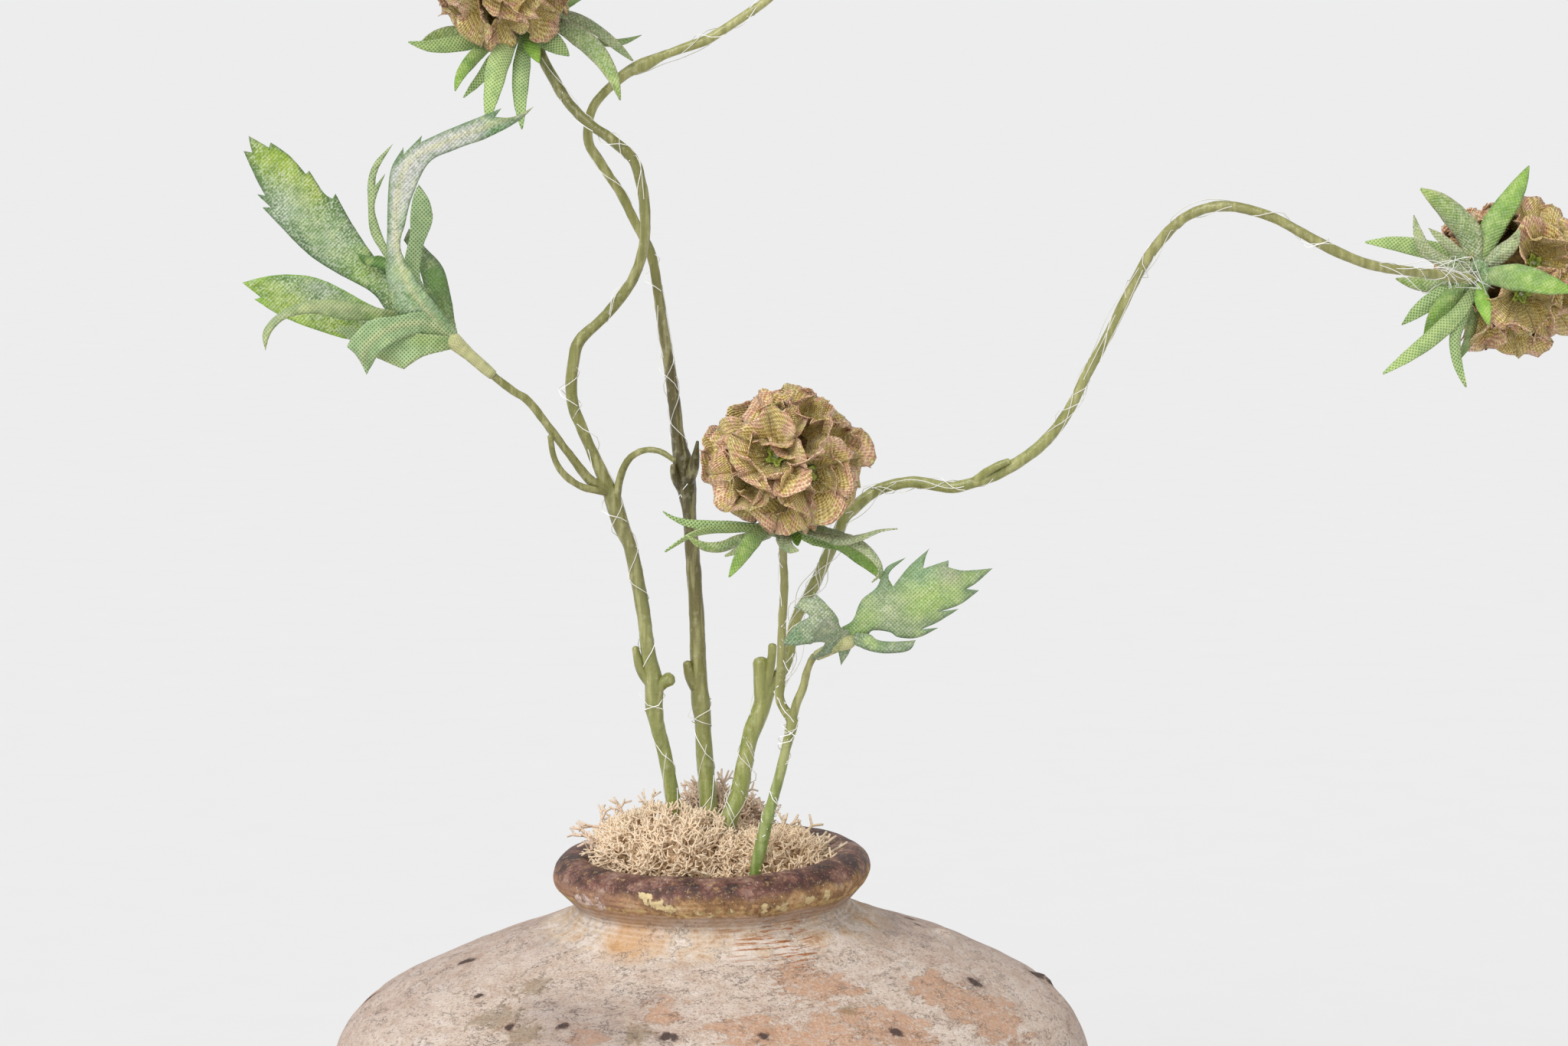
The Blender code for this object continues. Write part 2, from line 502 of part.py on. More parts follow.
def tube(name, route, sides, spacing, kind="stem", grow=0.0, dome=0.5):
    """A round closed tube along (x, y, z, radius) points, with a low point at its tip."""
    path = curve_through(route, spacing)
    centres = [Vector(p[:3]) for p in path]
    along = directions(centres)
    side = along[0].orthogonal().normalized()
    points, faces = [], []
    for centre, forward, (*_, radius) in zip(centres, along, path):
        side = (side - forward * side.dot(forward)).normalized()
        other = forward.cross(side)
        for n in range(sides):
            turn = 2 * math.pi * n / sides
            spoke = side * math.cos(turn) + other * math.sin(turn)
            points.append(centre + spoke * (radius + grow))
    for ring in range(len(path) - 1):
        for n in range(sides):
            a, b = ring * sides + n, ring * sides + (n + 1) % sides
            faces.append((a, b, b + sides, a + sides))
    faces.append(tuple(range(sides - 1, -1, -1)))
    tip = len(points)
    points.append(centres[-1] + along[-1] * (path[-1][3] * dome + grow))
    last = (len(path) - 1) * sides
    faces.extend((last + n, last + (n + 1) % sides, tip) for n in range(sides))
    return solid(name, points, faces, kind)


def lean(x, z):
    """How far the hand-thrown jar's upper part rises to one side."""
    t = min(1.0, max(0.0, (z - LEAN_FROM) / LEAN_OVER))
    return LEAN * x * t * t * (3 - 2 * t)


def turned(name, profile, sides, kind):
    """A solid of revolution from (radius, height) pairs that run from its floor up its outside."""
    points = [Vector((0, 0, profile[0][1]))]
    for radius, height in profile:
        for n in range(sides):
            turn = 2 * math.pi * n / sides
            x, y = radius * math.cos(turn), radius * math.sin(turn)
            points.append(Vector((x, y, height + lean(x, height))))
    top = len(points)
    points.append(Vector((0, 0, profile[-1][1])))
    faces = [(0, 1 + (n + 1) % sides, 1 + n) for n in range(sides)]
    for ring in range(len(profile) - 1):
        for n in range(sides):
            a, b = 1 + ring * sides + n, 1 + ring * sides + (n + 1) % sides
            faces.append((a, b, b + sides, a + sides))
    last = 1 + (len(profile) - 1) * sides
    faces.extend((last + n, last + (n + 1) % sides, top) for n in range(sides))
    return solid(name, points, faces, kind)


def rim_arc(grow, first, last, steps):
    """Points over the rolled rim, from one angle to another in degrees, where 0 is its outer side."""
    arc = []
    for step in range(steps + 1):
        turn = math.radians(first + (last - first) * step / steps)
        arc.append((
            RIM_RADIUS + (RIM_HALF_WIDTH + grow) * math.cos(turn),
            RIM_HEIGHT + (RIM_HALF_HEIGHT + grow) * math.sin(turn),
        ))
    return arc


def build_jar():
    profile = [*JAR_OUTSIDE, *rim_arc(0.0, -35, 180, RIM_ARC_STEPS), *JAR_INSIDE]
    jar = turned("jar", profile, JAR_SIDES, "stoneware")
    shade(jar)


def stem_cutters(clear):
    """Every stem's lower length, thicker by `clear`, for the plain holes they stand in."""
    routes = {"left": STEM_LEFT, "tall": STEM_TALL, "right": STEM_RIGHT, "short": STEM_SHORT}
    cutters = []
    for name, route in routes.items():
        x, y, _, radius = route[0]
        foot = (x, y, HOLE_FLOOR, radius)
        cutters.append(tube(f"hole_{name}", [foot, *route[1:6]], HOLE_SIDES, STEM_STEP, grow=clear))
    return cutters


def build_foam():
    foam = turned("foam_plug", FOAM_PROFILE, FOAM_SIDES, "foam")
    boolean(foam, stem_cutters(GAP), "DIFFERENCE")


def heap(name, centre, radii):
    """A lumpy mound of moss."""
    rings, sides = HEAP_RINGS, HEAP_SIDES
    slow, quick = HEAP_LUMPS
    points = [Vector(centre) + Vector((0, 0, -radii[2]))]
    for ring in range(1, rings):
        polar = math.pi * ring / rings
        for n in range(sides):
            turn = 2 * math.pi * (n + 0.5 * (ring % 2)) / sides
            lump = 1 + slow * math.sin(3 * turn + 2 * ring) + quick * math.cos(5 * turn - ring)
            spoke = (math.sin(polar) * math.cos(turn), math.sin(polar) * math.sin(turn), -math.cos(polar))
            points.append(Vector(c + r * s * lump for c, r, s in zip(centre, radii, spoke)))
    top = len(points)
    points.append(Vector(centre) + Vector((0, 0, radii[2])))
    faces = [(0, 1 + (n + 1) % sides, 1 + n) for n in range(sides)]
    for ring in range(rings - 2):
        for n in range(sides):
            a, b = 1 + ring * sides + n, 1 + ring * sides + (n + 1) % sides
            faces.append((a, b, b + sides, a + sides))
    last = 1 + (rings - 2) * sides
    faces.extend((last + n, last + (n + 1) % sides, top) for n in range(sides))
    return solid(name, points, faces, "moss")


def prong(name, root, direction, length):
    """One stubby branch of the moss."""
    side = direction.orthogonal().normalized()
    other = direction.cross(side)
    corners = [(1, 0), (0, 1), (-1, 0), (0, -1)]
    base = [root + (side * x + other * y) * PRONG_HALF_WIDTH for x, y in corners]
    points = [*base, root + direction * length]
    return solid(name, points, [(3, 2, 1, 0), (0, 1, 4), (1, 2, 4), (2, 3, 4), (3, 0, 4)], "moss")


def build_moss():
    chance = random.Random(MOSS_SEED)
    heaps = [heap(f"heap_{n}", centre, radii) for n, (centre, radii) in enumerate(MOSS_HEAPS)]
    prongs = []
    for n in range(MOSS_PRONGS):
        centre, radii = MOSS_HEAPS[chance.choice((0, 0, 1, 2))]
        turn = chance.uniform(0, 2 * math.pi)
        rise = chance.uniform(0.15, 1.0)
        flat = math.sqrt(1 - rise * rise)
        spoke = Vector((flat * math.cos(turn), flat * math.sin(turn), rise))
        root = Vector(c + r * s * PRONG_ROOT for c, r, s in zip(centre, radii, spoke))
        for fork in (-PRONG_FORK, PRONG_FORK):
            across, along = (chance.uniform(-PRONG_SWAY, PRONG_SWAY) for _ in range(2))
            sway = Vector((across + fork, along - fork, PRONG_RISE))
            length = PRONG_LENGTH * chance.uniform(0.8, 1.2)
            prongs.append(prong(f"prong_{n}", root, (spoke + sway).normalized(), length))
    moss = heaps[0]
    moss.name = "moss"
    boolean(moss, [*heaps[1:], *prongs], "UNION")
    mouth = [
        (MOUTH_RADIUS, MOUTH_FLOOR), (MOUTH_RADIUS, RIM_HEIGHT), *rim_arc(GAP, 0, 180, 8),
        (RIM_RADIUS - RIM_HALF_WIDTH - GAP, FOAM_TOP + GAP),
    ]
    boolean(moss, [turned("mouth", mouth, JAR_SIDES, "moss"), *stem_cutters(MOSS_GAP)], "DIFFERENCE")
    keep_largest(moss)


def build_stem(name, trunk, branches):
    """A stem with its side twigs and cut stubs fused on."""
    stem = tube(name, trunk, STEM_SIDES, STEM_STEP)
    twigs = [tube(f"twig_{n}", route, STEM_SIDES, STEM_STEP) for n, route in enumerate(branches)]
    boolean(stem, twigs, "UNION")
    shade(stem)


def head_frame(head):
    """A matrix that carries a seed head's own space, +Z along its axis, to its place."""
    centre, axis = HEADS[head]
    up = Vector(axis).normalized()
    side = Vector((0, 0, 1)) if abs(up.x) > 0.5 else Vector((1, 0, 0))
    side = (side - up * side.dot(up)).normalized()
    turn = Matrix((side, up.cross(side), up)).transposed().to_4x4()
    return Matrix.Translation(Vector(centre)) @ turn


def to_head(route, head):
    """The route, carried on straight along the head's axis into its socket."""
    frame = head_frame(head)
    radius = route[-1][3]
    steps = [-COLLAR_BELOW - STEM_STRAIGHT, -COLLAR_BELOW, -COLLAR_BELOW + STEM_STRAIGHT, -STEM_IN_HEAD]
    return [*route, *((*(frame @ Vector((0, 0, z))), radius) for z in steps)]


def socket(head, radius, deep):
    """The cutter for the plain hole that takes the stem's end."""
    frame = head_frame(head)
    steps = [-COLLAR_BELOW - SOCKET_BELOW, -STEM_IN_HEAD - STEM_STRAIGHT, deep]
    ends = [frame @ Vector((0, 0, z)) for z in steps]
    return tube("socket", [(*end, radius) for end in ends], HOLE_SIDES, STEM_STRAIGHT, grow=GAP)


def floret(name, head, spoke, chance):
    """One ruffled cup: a funnel with its root in the core and a waved rim round a dished face."""
    place = head_frame(head)
    outward = Vector(spoke)
    side = outward.orthogonal().normalized()
    side.rotate(Matrix.Rotation(chance.uniform(0, math.pi), 3, outward))
    other = outward.cross(side)
    size = chance.uniform(*FLORET_SIZES)
    lift = chance.uniform(*FLORET_LIFTS)
    rim = []
    for n in range(FLORET_SIDES):
        turn = 2 * math.pi * n / FLORET_SIDES
        wave = FLORET_WAVE * (1 if n % 2 else -1) * chance.uniform(*WAVE_SHARES)
        reach = FLORET_RADIUS * size + 0.5 * wave + chance.uniform(-FRAY, FRAY)
        spread = side * math.cos(turn) + other * math.sin(turn)
        height = FLORET_RIM + lift + wave
        rim.append(outward * height + spread * reach)
    points = [*rim, outward * (FLORET_DISH + lift), outward * FLORET_ROOT]
    points = [place @ Vector((x, y, max(z * HEAD_SQUASH, FLORET_FLOOR))) for x, y, z in points]
    dish, root = FLORET_SIDES, FLORET_SIDES + 1
    faces = []
    for n in range(FLORET_SIDES):
        m = (n + 1) % FLORET_SIDES
        faces += [(n, m, dish), (m, n, root)]
    return solid(name, points, faces, "floret")


def spiral_spokes(phase):
    """Directions spread evenly over a head's top and sides by the golden angle."""
    spokes = []
    for n in range(FLORETS):
        height = 1 - (n + 0.5) / FLORETS * (1 - math.cos(FLORET_POLAR_END))
        turn = phase + n * math.pi * (3 - math.sqrt(5))
        flat = math.sqrt(1 - height * height)
        spokes.append((flat * math.cos(turn), flat * math.sin(turn), height))
    return spokes


def build_head(head, stem_radius):
    """A core with its short neck, and the florets that cover it."""
    seed, phase = HEAD_DRAWS[head]
    chance = random.Random(seed)
    frame = head_frame(head)
    core = bpy.data.meshes.new("core")
    work = bmesh.new()
    bmesh.ops.create_uvsphere(work, u_segments=CORE_SIDES, v_segments=CORE_RINGS, radius=CORE_RADIUS)
    for point in work.verts:
        point.co.z *= HEAD_SQUASH
    work.to_mesh(core)
    work.free()
    points = [frame @ v.co for v in core.vertices]
    bloom = solid(f"head_{head}", points, [tuple(p.vertices) for p in core.polygons], "floret")
    bpy.data.meshes.remove(core)
    low = -COLLAR_BELOW + COLLAR_THICK / 2 + GAP
    neck_ends = [(*(frame @ Vector((0, 0, z))), NECK_RADIUS) for z in (low, NECK_TOP)]
    parts = [tube("neck", neck_ends, NECK_SIDES, COLLAR_BELOW, "floret", dome=0.0)]
    parts += [floret(f"floret_{n}", head, spoke, chance) for n, spoke in enumerate(spiral_spokes(phase))]
    boolean(bloom, parts, "UNION")
    boolean(bloom, [socket(head, stem_radius, -STEM_IN_HEAD + SOCKET_CLEAR)], "DIFFERENCE")
    keep_largest(bloom)


def sheet(name, front, back, triangles, kind):
    """A thin closed sheet: the triangles on its front, the same on its back, and a wall round the rim."""
    size = len(front)
    edges = {pair for a, b, c in triangles for pair in ((a, b), (b, c), (c, a))}
    faces = [*triangles, *((size + c, size + b, size + a) for a, b, c in triangles)]
    for a, b in sorted(edges):
        if (b, a) not in edges:
            faces += [(b, a, size + a), (b, size + a, size + b)]
    return solid(name, [*front, *back], faces, kind)


def leaf(name, rib, edge):
    """A thin blade with its outline as seen from the front, as deep in space as its rib."""
    path = curve_through(rib, RIB_FINE_STEP)
    last = len(edge)
    inner = [(x, z) for x, _, z in curve_through(rib, RIB_STEP)[1:-1]]
    inner = [p for p in inner if min(math.dist(p, q) for q in edge) > RIB_CLEAR]
    flat = [Vector(p) for p in [*edge, *inner]]
    ring = [(n, (n + 1) % last) for n in range(last)]
    spots, _, triangles, *_ = delaunay_2d_cdt(flat, ring, [], 1, 1e-5)
    middle = []
    for x, z in spots:
        near = min(path, key=lambda p: math.dist((x, z), (p[0], p[2])))
        wide = math.dist((x, z), (near[0], near[2]))
        middle.append(Vector((x, near[1] + LEAF_CUP * wide**2, z)))
    half = Vector((0, BLADE_THICK / 2, 0))
    facing = []
    for a, b, c in triangles:
        upright = (spots[b] - spots[a]).cross(spots[c] - spots[a]) > 0
        facing.append((a, b, c) if upright else (a, c, b))
    return sheet(name, [p - half for p in middle], [p + half for p in middle], facing, "leaf")


def bract(name, head, turn, length, lift, bend, sweep):
    """One blade of a collar, from inside its ring outwards."""
    place = head_frame(head)
    up = Vector((0.0, 0.0, 1.0))
    reach, height = BRACT_START, -COLLAR_BELOW
    width = BRACT_HALF_WIDTH * (SHORT_BRACT_WIDTH + (1 - SHORT_BRACT_WIDTH) * length / LONGEST_BRACT)
    front, back = [], []
    done = 0.0
    for share, wide in BRACT_SHAPE:
        angle = math.radians(lift + bend * (done + share) / 2)
        reach += length * (share - done) * math.cos(angle)
        height += length * (share - done) * math.sin(angle)
        done = share
        heading = math.radians(turn - sweep * (1 - share))
        out = Vector((math.cos(heading), math.sin(heading), 0.0))
        side = Vector((-math.sin(heading), math.cos(heading), 0.0))
        spot = out * reach + up * height
        tilt = math.radians(lift + bend * share)
        raise_by = (up * math.cos(tilt) - out * math.sin(tilt)) * (BLADE_THICK / 2)
        for across in ((width * wide, -width * wide) if wide else (0.0,)):
            front.append(place @ (spot + side * across + raise_by))
            back.append(place @ (spot + side * across - raise_by))
    triangles = []
    tip = len(front) - 1
    for left in range(0, tip - 2, 2):
        right = left + 1
        triangles += [(right, right + 2, left + 2), (right, left + 2, left)]
    triangles.append((tip - 1, tip, tip - 2))
    return sheet(name, front, back, triangles, "collar")


def build_collar(head, stem_radius):
    """The green ring under a head with its spreading blades."""
    frame = head_frame(head)
    half = COLLAR_THICK / 2
    ends = [(*(frame @ Vector((0, 0, -COLLAR_BELOW + z))), COLLAR_RADIUS) for z in (-half, half)]
    collar = tube(f"collar_{head}", ends, COLLAR_SIDES, COLLAR_BELOW, "collar", dome=0.0)
    blades = [bract(f"bract_{n}", head, *row) for n, row in enumerate(BRACTS[head])]
    boolean(collar, blades, "UNION")
    boolean(collar, [socket(head, stem_radius, -STEM_IN_HEAD)], "DIFFERENCE")
    keep_largest(collar)


def build_leaves(name, leaves, seat, twig_end, twig_radius):
    """Leaf blades fused into a sleeve that fits over the twig's end."""
    base, end = Vector(seat), Vector(twig_end)
    forward = (base - end).normalized()
    start = end - forward * SLEEVE_LENGTH
    route = [
        (*start, SLEEVE_RADIUS * SLEEVE_MOUTH), (*end, SLEEVE_RADIUS),
        (*(base + forward * KNOB_PAST), KNOB_RADIUS),
    ]
    spray = tube(name, route, SLEEVE_SIDES, STEM_STEP, "leaf")
    blades = [leaf(f"blade_{n}", **shape) for n, shape in enumerate(leaves)]
    boolean(spray, blades, "UNION")
    hole = [(*(start - forward * SLEEVE_LENGTH), twig_radius), (*(end + forward * HOLE_PAST), twig_radius)]
    boolean(spray, [tube("hole", hole, HOLE_SIDES, STEM_STEP, grow=GAP)], "DIFFERENCE")
    keep_largest(spray)


def main():
    clear_scene()
    build_jar()
    build_foam()
    build_moss()
    build_stem(
        "stem_left", to_head(STEM_LEFT, "left"),
        [LEFT_LEAF_TWIG, LEFT_TENDRIL, LEFT_ARCH_TWIG, LEFT_CUT_RIGHT, LEFT_CUT_LEFT],
    )
    build_stem("stem_tall", to_head(STEM_TALL, "top"), [TALL_SPIKE, TALL_BUMP, TALL_BUD])
    build_stem("stem_right", to_head(STEM_RIGHT, "right"), [RIGHT_LOPPED, RIGHT_CUT_TWIG, RIGHT_CUT_TIP])
    build_stem("stem_short", to_head(STEM_SHORT, "middle"), [SHORT_LEAF_TWIG])
    stem_tips = {"left": STEM_LEFT, "top": STEM_TALL, "right": STEM_RIGHT, "middle": STEM_SHORT}
    for head, route in stem_tips.items():
        radius = route[-1][3]
        build_head(head, radius)
        build_collar(head, radius)
    build_leaves("leaf_spray", LEFT_SPRAY, LEFT_LEAF_SEAT, LEFT_LEAF_FROM, LEFT_LEAF_TWIG[-1][3])
    build_leaves("leaf_pair", LEAF_PAIR, PAIR_SEAT, PAIR_FROM, SHORT_LEAF_TWIG[-1][3])


main()
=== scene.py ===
# %% [markdown]
# # A scabiosa arrangement in an aged clay jar
# This lesson dresses a finished CAD model. The CAD gives every solid its place, and here each one gets
# the surface that the real object shows: a thrown clay jar under a worn chalky wash, a heap of reindeer
# moss, four moulded plastic stems, ruffled seed heads cut from woven cloth, and printed cloth leaves.
# Sizes are written in millimetres and become metres only when a mesh is made.

import json
import math
import random

import bmesh
import bpy
import numpy as np
from mathutils import Matrix, Vector, noise
from mathutils.geometry import delaunay_2d_cdt

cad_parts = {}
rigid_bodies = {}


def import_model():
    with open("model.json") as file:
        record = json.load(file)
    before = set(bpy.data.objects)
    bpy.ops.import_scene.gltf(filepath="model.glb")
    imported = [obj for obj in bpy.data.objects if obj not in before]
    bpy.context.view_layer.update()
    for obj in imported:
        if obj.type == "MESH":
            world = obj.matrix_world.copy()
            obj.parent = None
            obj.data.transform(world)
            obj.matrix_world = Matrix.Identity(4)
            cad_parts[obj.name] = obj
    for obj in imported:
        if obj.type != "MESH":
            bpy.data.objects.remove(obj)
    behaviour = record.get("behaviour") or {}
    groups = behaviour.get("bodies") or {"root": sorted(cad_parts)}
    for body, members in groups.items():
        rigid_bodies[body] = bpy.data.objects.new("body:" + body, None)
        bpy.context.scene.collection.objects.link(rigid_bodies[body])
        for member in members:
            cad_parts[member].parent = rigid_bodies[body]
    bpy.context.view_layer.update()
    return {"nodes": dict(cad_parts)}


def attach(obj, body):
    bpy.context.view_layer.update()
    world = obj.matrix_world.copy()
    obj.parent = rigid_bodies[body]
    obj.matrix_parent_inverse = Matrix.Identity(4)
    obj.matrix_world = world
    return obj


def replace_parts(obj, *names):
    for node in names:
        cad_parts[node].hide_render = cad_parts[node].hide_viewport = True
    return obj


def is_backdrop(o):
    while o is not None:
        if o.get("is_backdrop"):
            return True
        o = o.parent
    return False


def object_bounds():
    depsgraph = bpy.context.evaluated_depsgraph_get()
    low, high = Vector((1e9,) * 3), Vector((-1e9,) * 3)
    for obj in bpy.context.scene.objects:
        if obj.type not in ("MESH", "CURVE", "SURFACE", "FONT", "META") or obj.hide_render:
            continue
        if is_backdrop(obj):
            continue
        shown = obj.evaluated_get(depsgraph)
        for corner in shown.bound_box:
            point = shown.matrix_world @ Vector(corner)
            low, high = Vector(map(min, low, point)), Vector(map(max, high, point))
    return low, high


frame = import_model()

# %% [markdown]
# ## Camera
# The photograph looks slightly down on the arrangement with a long lens, so sizes hardly change with
# depth. The lens is worked out from the distance and the scale of the picture: 1400 mm away, and 36 mm
# of sensor for the 476 mm that the picture is wide there.

# %% Place the camera
MM = 0.001
CAMERA_AT = (22.097, -1387.359, 478.892)
CAMERA_AIM = (22.097, 0.0, 291.182)
LENS = 105.80

scene = bpy.context.scene


def placed(name, data):
    """A new object in the scene."""
    made = bpy.data.objects.new(name, data)
    scene.collection.objects.link(made)
    return made


camera = placed("camera", bpy.data.cameras.new("camera"))
camera.location = Vector(CAMERA_AT) * MM
camera.rotation_euler = (Vector(CAMERA_AIM) - Vector(CAMERA_AT)).to_track_quat("-Z", "Y").to_euler()
camera.data.sensor_width = 36.0
camera.data.lens = LENS
camera.data.clip_start = 0.05
camera.data.clip_end = 100.0
scene.camera = camera

# Directions in which the picture is measured: to the right, up, and towards the camera.
toward = (Vector(CAMERA_AT) - Vector(CAMERA_AIM)).normalized()
across = Vector((1, 0, 0))
upwards = toward.cross(across).normalized()
print("camera looks down", round(math.degrees(math.asin(toward.z)), 2), "degrees")

# %% [markdown]
# ## Small helpers
# Colours are picked as sRGB hex codes, as they are read off a picture, and shaders want linear values.
# A material is a tree of nodes, so one helper adds a node, sets it up, and fills each of its sockets
# with a value or a link. It hands back the output socket, so that calls can nest.

# %% Colour and node helpers
def linear(code):
    """A linear colour from an sRGB hex code."""
    shares = [int(code[n:n + 2], 16) / 255 for n in (1, 3, 5)]
    return (*(s / 12.92 if s <= 0.04045 else ((s + 0.055) / 1.055) ** 2.4 for s in shares), 1.0)


def add(kind, sockets=None, out=0, stops=None, **settings):
    """Adds a node to the tree in hand, with settings, values and links, and returns one of its outputs."""
    made = tree.nodes.new(kind if "Node" in kind else f"ShaderNode{kind}")
    for name, value in settings.items():
        setattr(made, name, value)
    for key, value in (sockets or {}).items():
        if isinstance(value, bpy.types.NodeSocket):
            tree.links.new(value, made.inputs[key])
        else:
            made.inputs[key].default_value = value
    if stops:
        marks = made.color_ramp.elements
        while len(marks) < len(stops):
            marks.new(1.0)
        for mark, (place, _) in zip(marks, stops):
            mark.position = place
        for mark, (_, code) in zip(marks, stops):
            mark.color = linear(code)
    return made.outputs[out] if len(made.outputs) else made


def new_material(name):
    """An empty material, its node tree, and the object's own coordinates in metres."""
    global tree
    made = bpy.data.materials.new(name)
    made.use_nodes = True
    tree = made.node_tree
    tree.nodes.clear()
    return made, tree, add("TexCoord", out="Object")


def calc(operation, *values):
    """Arithmetic on numbers."""
    return add("Math", dict(enumerate(values)), operation=operation)


def times(a, b):
    """A product of numbers."""
    return calc("MULTIPLY", a, b)


def vector_calc(operation, a, b=(0, 0, 0)):
    """Arithmetic on vectors, where a scale is a number."""
    out = "Value" if operation in ("DISTANCE", "LENGTH") else "Vector"
    return add("VectorMath", {0: a, "Scale" if operation == "SCALE" else 1: b}, out=out, operation=operation)


def grain(at, size, detail=2.0, rough=0.5, **more):
    """Noise with features of the given size, from 0 to 1 and mostly near 0.5."""
    return add("TexNoise", {"Vector": at, "Scale": 1 / size, "Detail": detail, "Roughness": rough, **more})


def ramp(value, *stops):
    """Colours at the given places of a value, blended between them."""
    return add("ValToRGB", {0: value}, stops=stops)


def named(name, out="Fac"):
    """A value that each point of the mesh carries."""
    return add("Attribute", out=out, attribute_name=name)


def between(value, start, stop, least=0.0, most=1.0, smooth=False):
    """A value spread from least to most between start and stop."""
    return add("MapRange", {0: value, 1: start, 2: stop, 3: least, 4: most},
               interpolation_type="SMOOTHSTEP" if smooth else "LINEAR")


def over(base, share, code):
    """A colour laid over another one by a share."""
    top = code if isinstance(code, bpy.types.NodeSocket) else linear(code)
    return add("Mix", {0: share, 6: base, 7: top}, out=2, data_type="RGBA")


def layered(base, *layers):
    """A colour under layers, each given as a value, where it starts and is full, its share and its colour."""
    for value, start, stop, share, code in layers:
        base = over(base, between(value, start, stop, 0.0, share), code)
    return base


def surface(colour, rough, relief=None, **more):
    """Ends the material in hand. Relief is its strength, depth in metres and height; more are sockets."""
    sockets = {"Base Color": colour, "Roughness": rough, **{k.replace("_", " "): v for k, v in more.items()}}
    if relief:
        sockets["Normal"] = add("Bump", dict(zip(("Strength", "Distance", "Height"), relief)))
    add("OutputMaterial", {"Surface": add("BsdfPrincipled", sockets)})


print("olive is", [round(c, 3) for c in linear("#8C9450")])

# %% [markdown]
# ## Turning points into meshes
# Most pieces are worked out as lists of points, with a few named values for each point that the
# materials read later, such as how near it is to an edge. Cloth is thin but not paper-thin, so a sheet
# is doubled: its points move half a thickness each way along their normals, and a wall closes the rim.

# %% Mesh helpers
def shape(name, points, faces, marks=None, flat=None):
    """An object from points in millimetres. `marks` are values per point, `flat` a cloth UV in mm."""
    mesh = bpy.data.meshes.new(name)
    mesh.from_pydata([tuple(p) for p in np.asarray(points, float) * MM], [], [tuple(f) for f in faces])
    for label, values in (marks or {}).items():
        values = np.asarray(values, np.float32)
        kinds = {1: ("FLOAT", "value"), 3: ("FLOAT_VECTOR", "vector"), 4: ("FLOAT_COLOR", "color")}
        kind, field = kinds[1 if values.ndim == 1 else values.shape[1]]
        mesh.attributes.new(label, kind, "POINT").data.foreach_set(field, values.ravel())
    if flat is not None:
        corners = np.zeros(len(mesh.loops), np.int32)
        mesh.loops.foreach_get("vertex_index", corners)
        layer = mesh.uv_layers.new(name="cloth")
        layer.data.foreach_set("uv", (np.asarray(flat, np.float32)[corners] * 0.1).ravel())
    mesh.shade_smooth()
    return placed(name, mesh)


def circle(sides):
    """Each step round a circle as its angle, cosine and sine."""
    turns = [2 * math.pi * k / sides for k in range(sides)]
    return [(turn, math.cos(turn), math.sin(turn)) for turn in turns]


def bands(rings, sides, start=0, flip=False):
    """Faces between neighbouring rings of points."""
    made = []
    for n in range(rings - 1):
        for k in range(sides):
            a, b = start + n * sides + k, start + n * sides + (k + 1) % sides
            made.append((a, a + sides, b + sides, b) if flip else (a, b, b + sides, a + sides))
    return made


def fan(tip, start, sides, flip=False):
    """Triangles from a tip to a ring of points."""
    rim = [(start + k, start + (k + 1) % sides) for k in range(sides)]
    return [(tip, b, a) if flip else (tip, a, b) for a, b in rim]


def point_normals(points, faces):
    """Unit normals at the points of a sheet, from its faces."""
    points = np.asarray(points, float)
    total = np.zeros_like(points)
    for face in faces:
        a, b, c = (points[n] for n in (face[0], face[1], face[-1]))
        total[list(face)] += np.cross(b - a, c - a)
    sizes = np.linalg.norm(total, axis=1, keepdims=True)
    return total / np.maximum(sizes, 1e-9)


def doubled(points, faces, thick):
    """Both sides of a sheet and the wall round its rim, as points and faces."""
    points = np.asarray(points, float)
    half = point_normals(points, faces) * (thick / 2)
    size = len(points)
    edges = {(a, b) for f in faces for a, b in zip(f, (*f[1:], f[0]))}
    walls = [(b, a, size + a, size + b) for a, b in sorted(edges) if (b, a) not in edges]
    backs = [tuple(size + n for n in reversed(f)) for f in faces]
    return np.concatenate([points + half, points - half]), [*faces, *backs, *walls]


def blend(a, b, c, d, t):
    """One coordinate of the smooth curve from b to c, whose neighbours are a and d."""
    square = 2 * a - 5 * b + 4 * c - d
    cube = 3 * b - a - 3 * c + d
    return 0.5 * (2 * b + (c - a) * t + square * t**2 + cube * t**3)


def curve_through(points, spacing):
    """Points about `spacing` apart on a smooth curve through the given ones, of any dimension."""
    ends = [points[0], *points, points[-1]]
    made = []
    for before, start, stop, after in zip(ends, ends[1:], ends[2:], ends[3:]):
        steps = max(1, round(math.dist(start[:3], stop[:3]) / spacing))
        for step in range(steps):
            t = step / steps
            made.append(tuple(blend(*four, t) for four in zip(before, start, stop, after)))
    return [*made, tuple(points[-1])]


# %% [markdown]
# ## Growing pieces with Geometry Nodes
# Three things here repeat or follow a path: the stems and their glue threads are tubes along routes, the
# moss is hundreds of sprigs, and a seed head is some twenty cups. Each has a node tree that is built
# once and run on a carrier mesh, whose points hold the route or the places. The result is turned into a
# plain mesh, because the tree is only the tool that made it.

# %% Node tree helpers
def new_tree(name, inputs):
    """A Geometry Nodes tree with named inputs, and the sockets that hand them out."""
    made = bpy.data.node_groups.new(name, "GeometryNodeTree")
    made.interface.new_socket("Geometry", in_out="OUTPUT", socket_type="NodeSocketGeometry")
    for label, kind in {"Geometry": "Geometry", **inputs}.items():
        made.interface.new_socket(label, in_out="INPUT", socket_type=f"NodeSocket{kind}")
    return made, made.nodes.new("NodeGroupInput").outputs


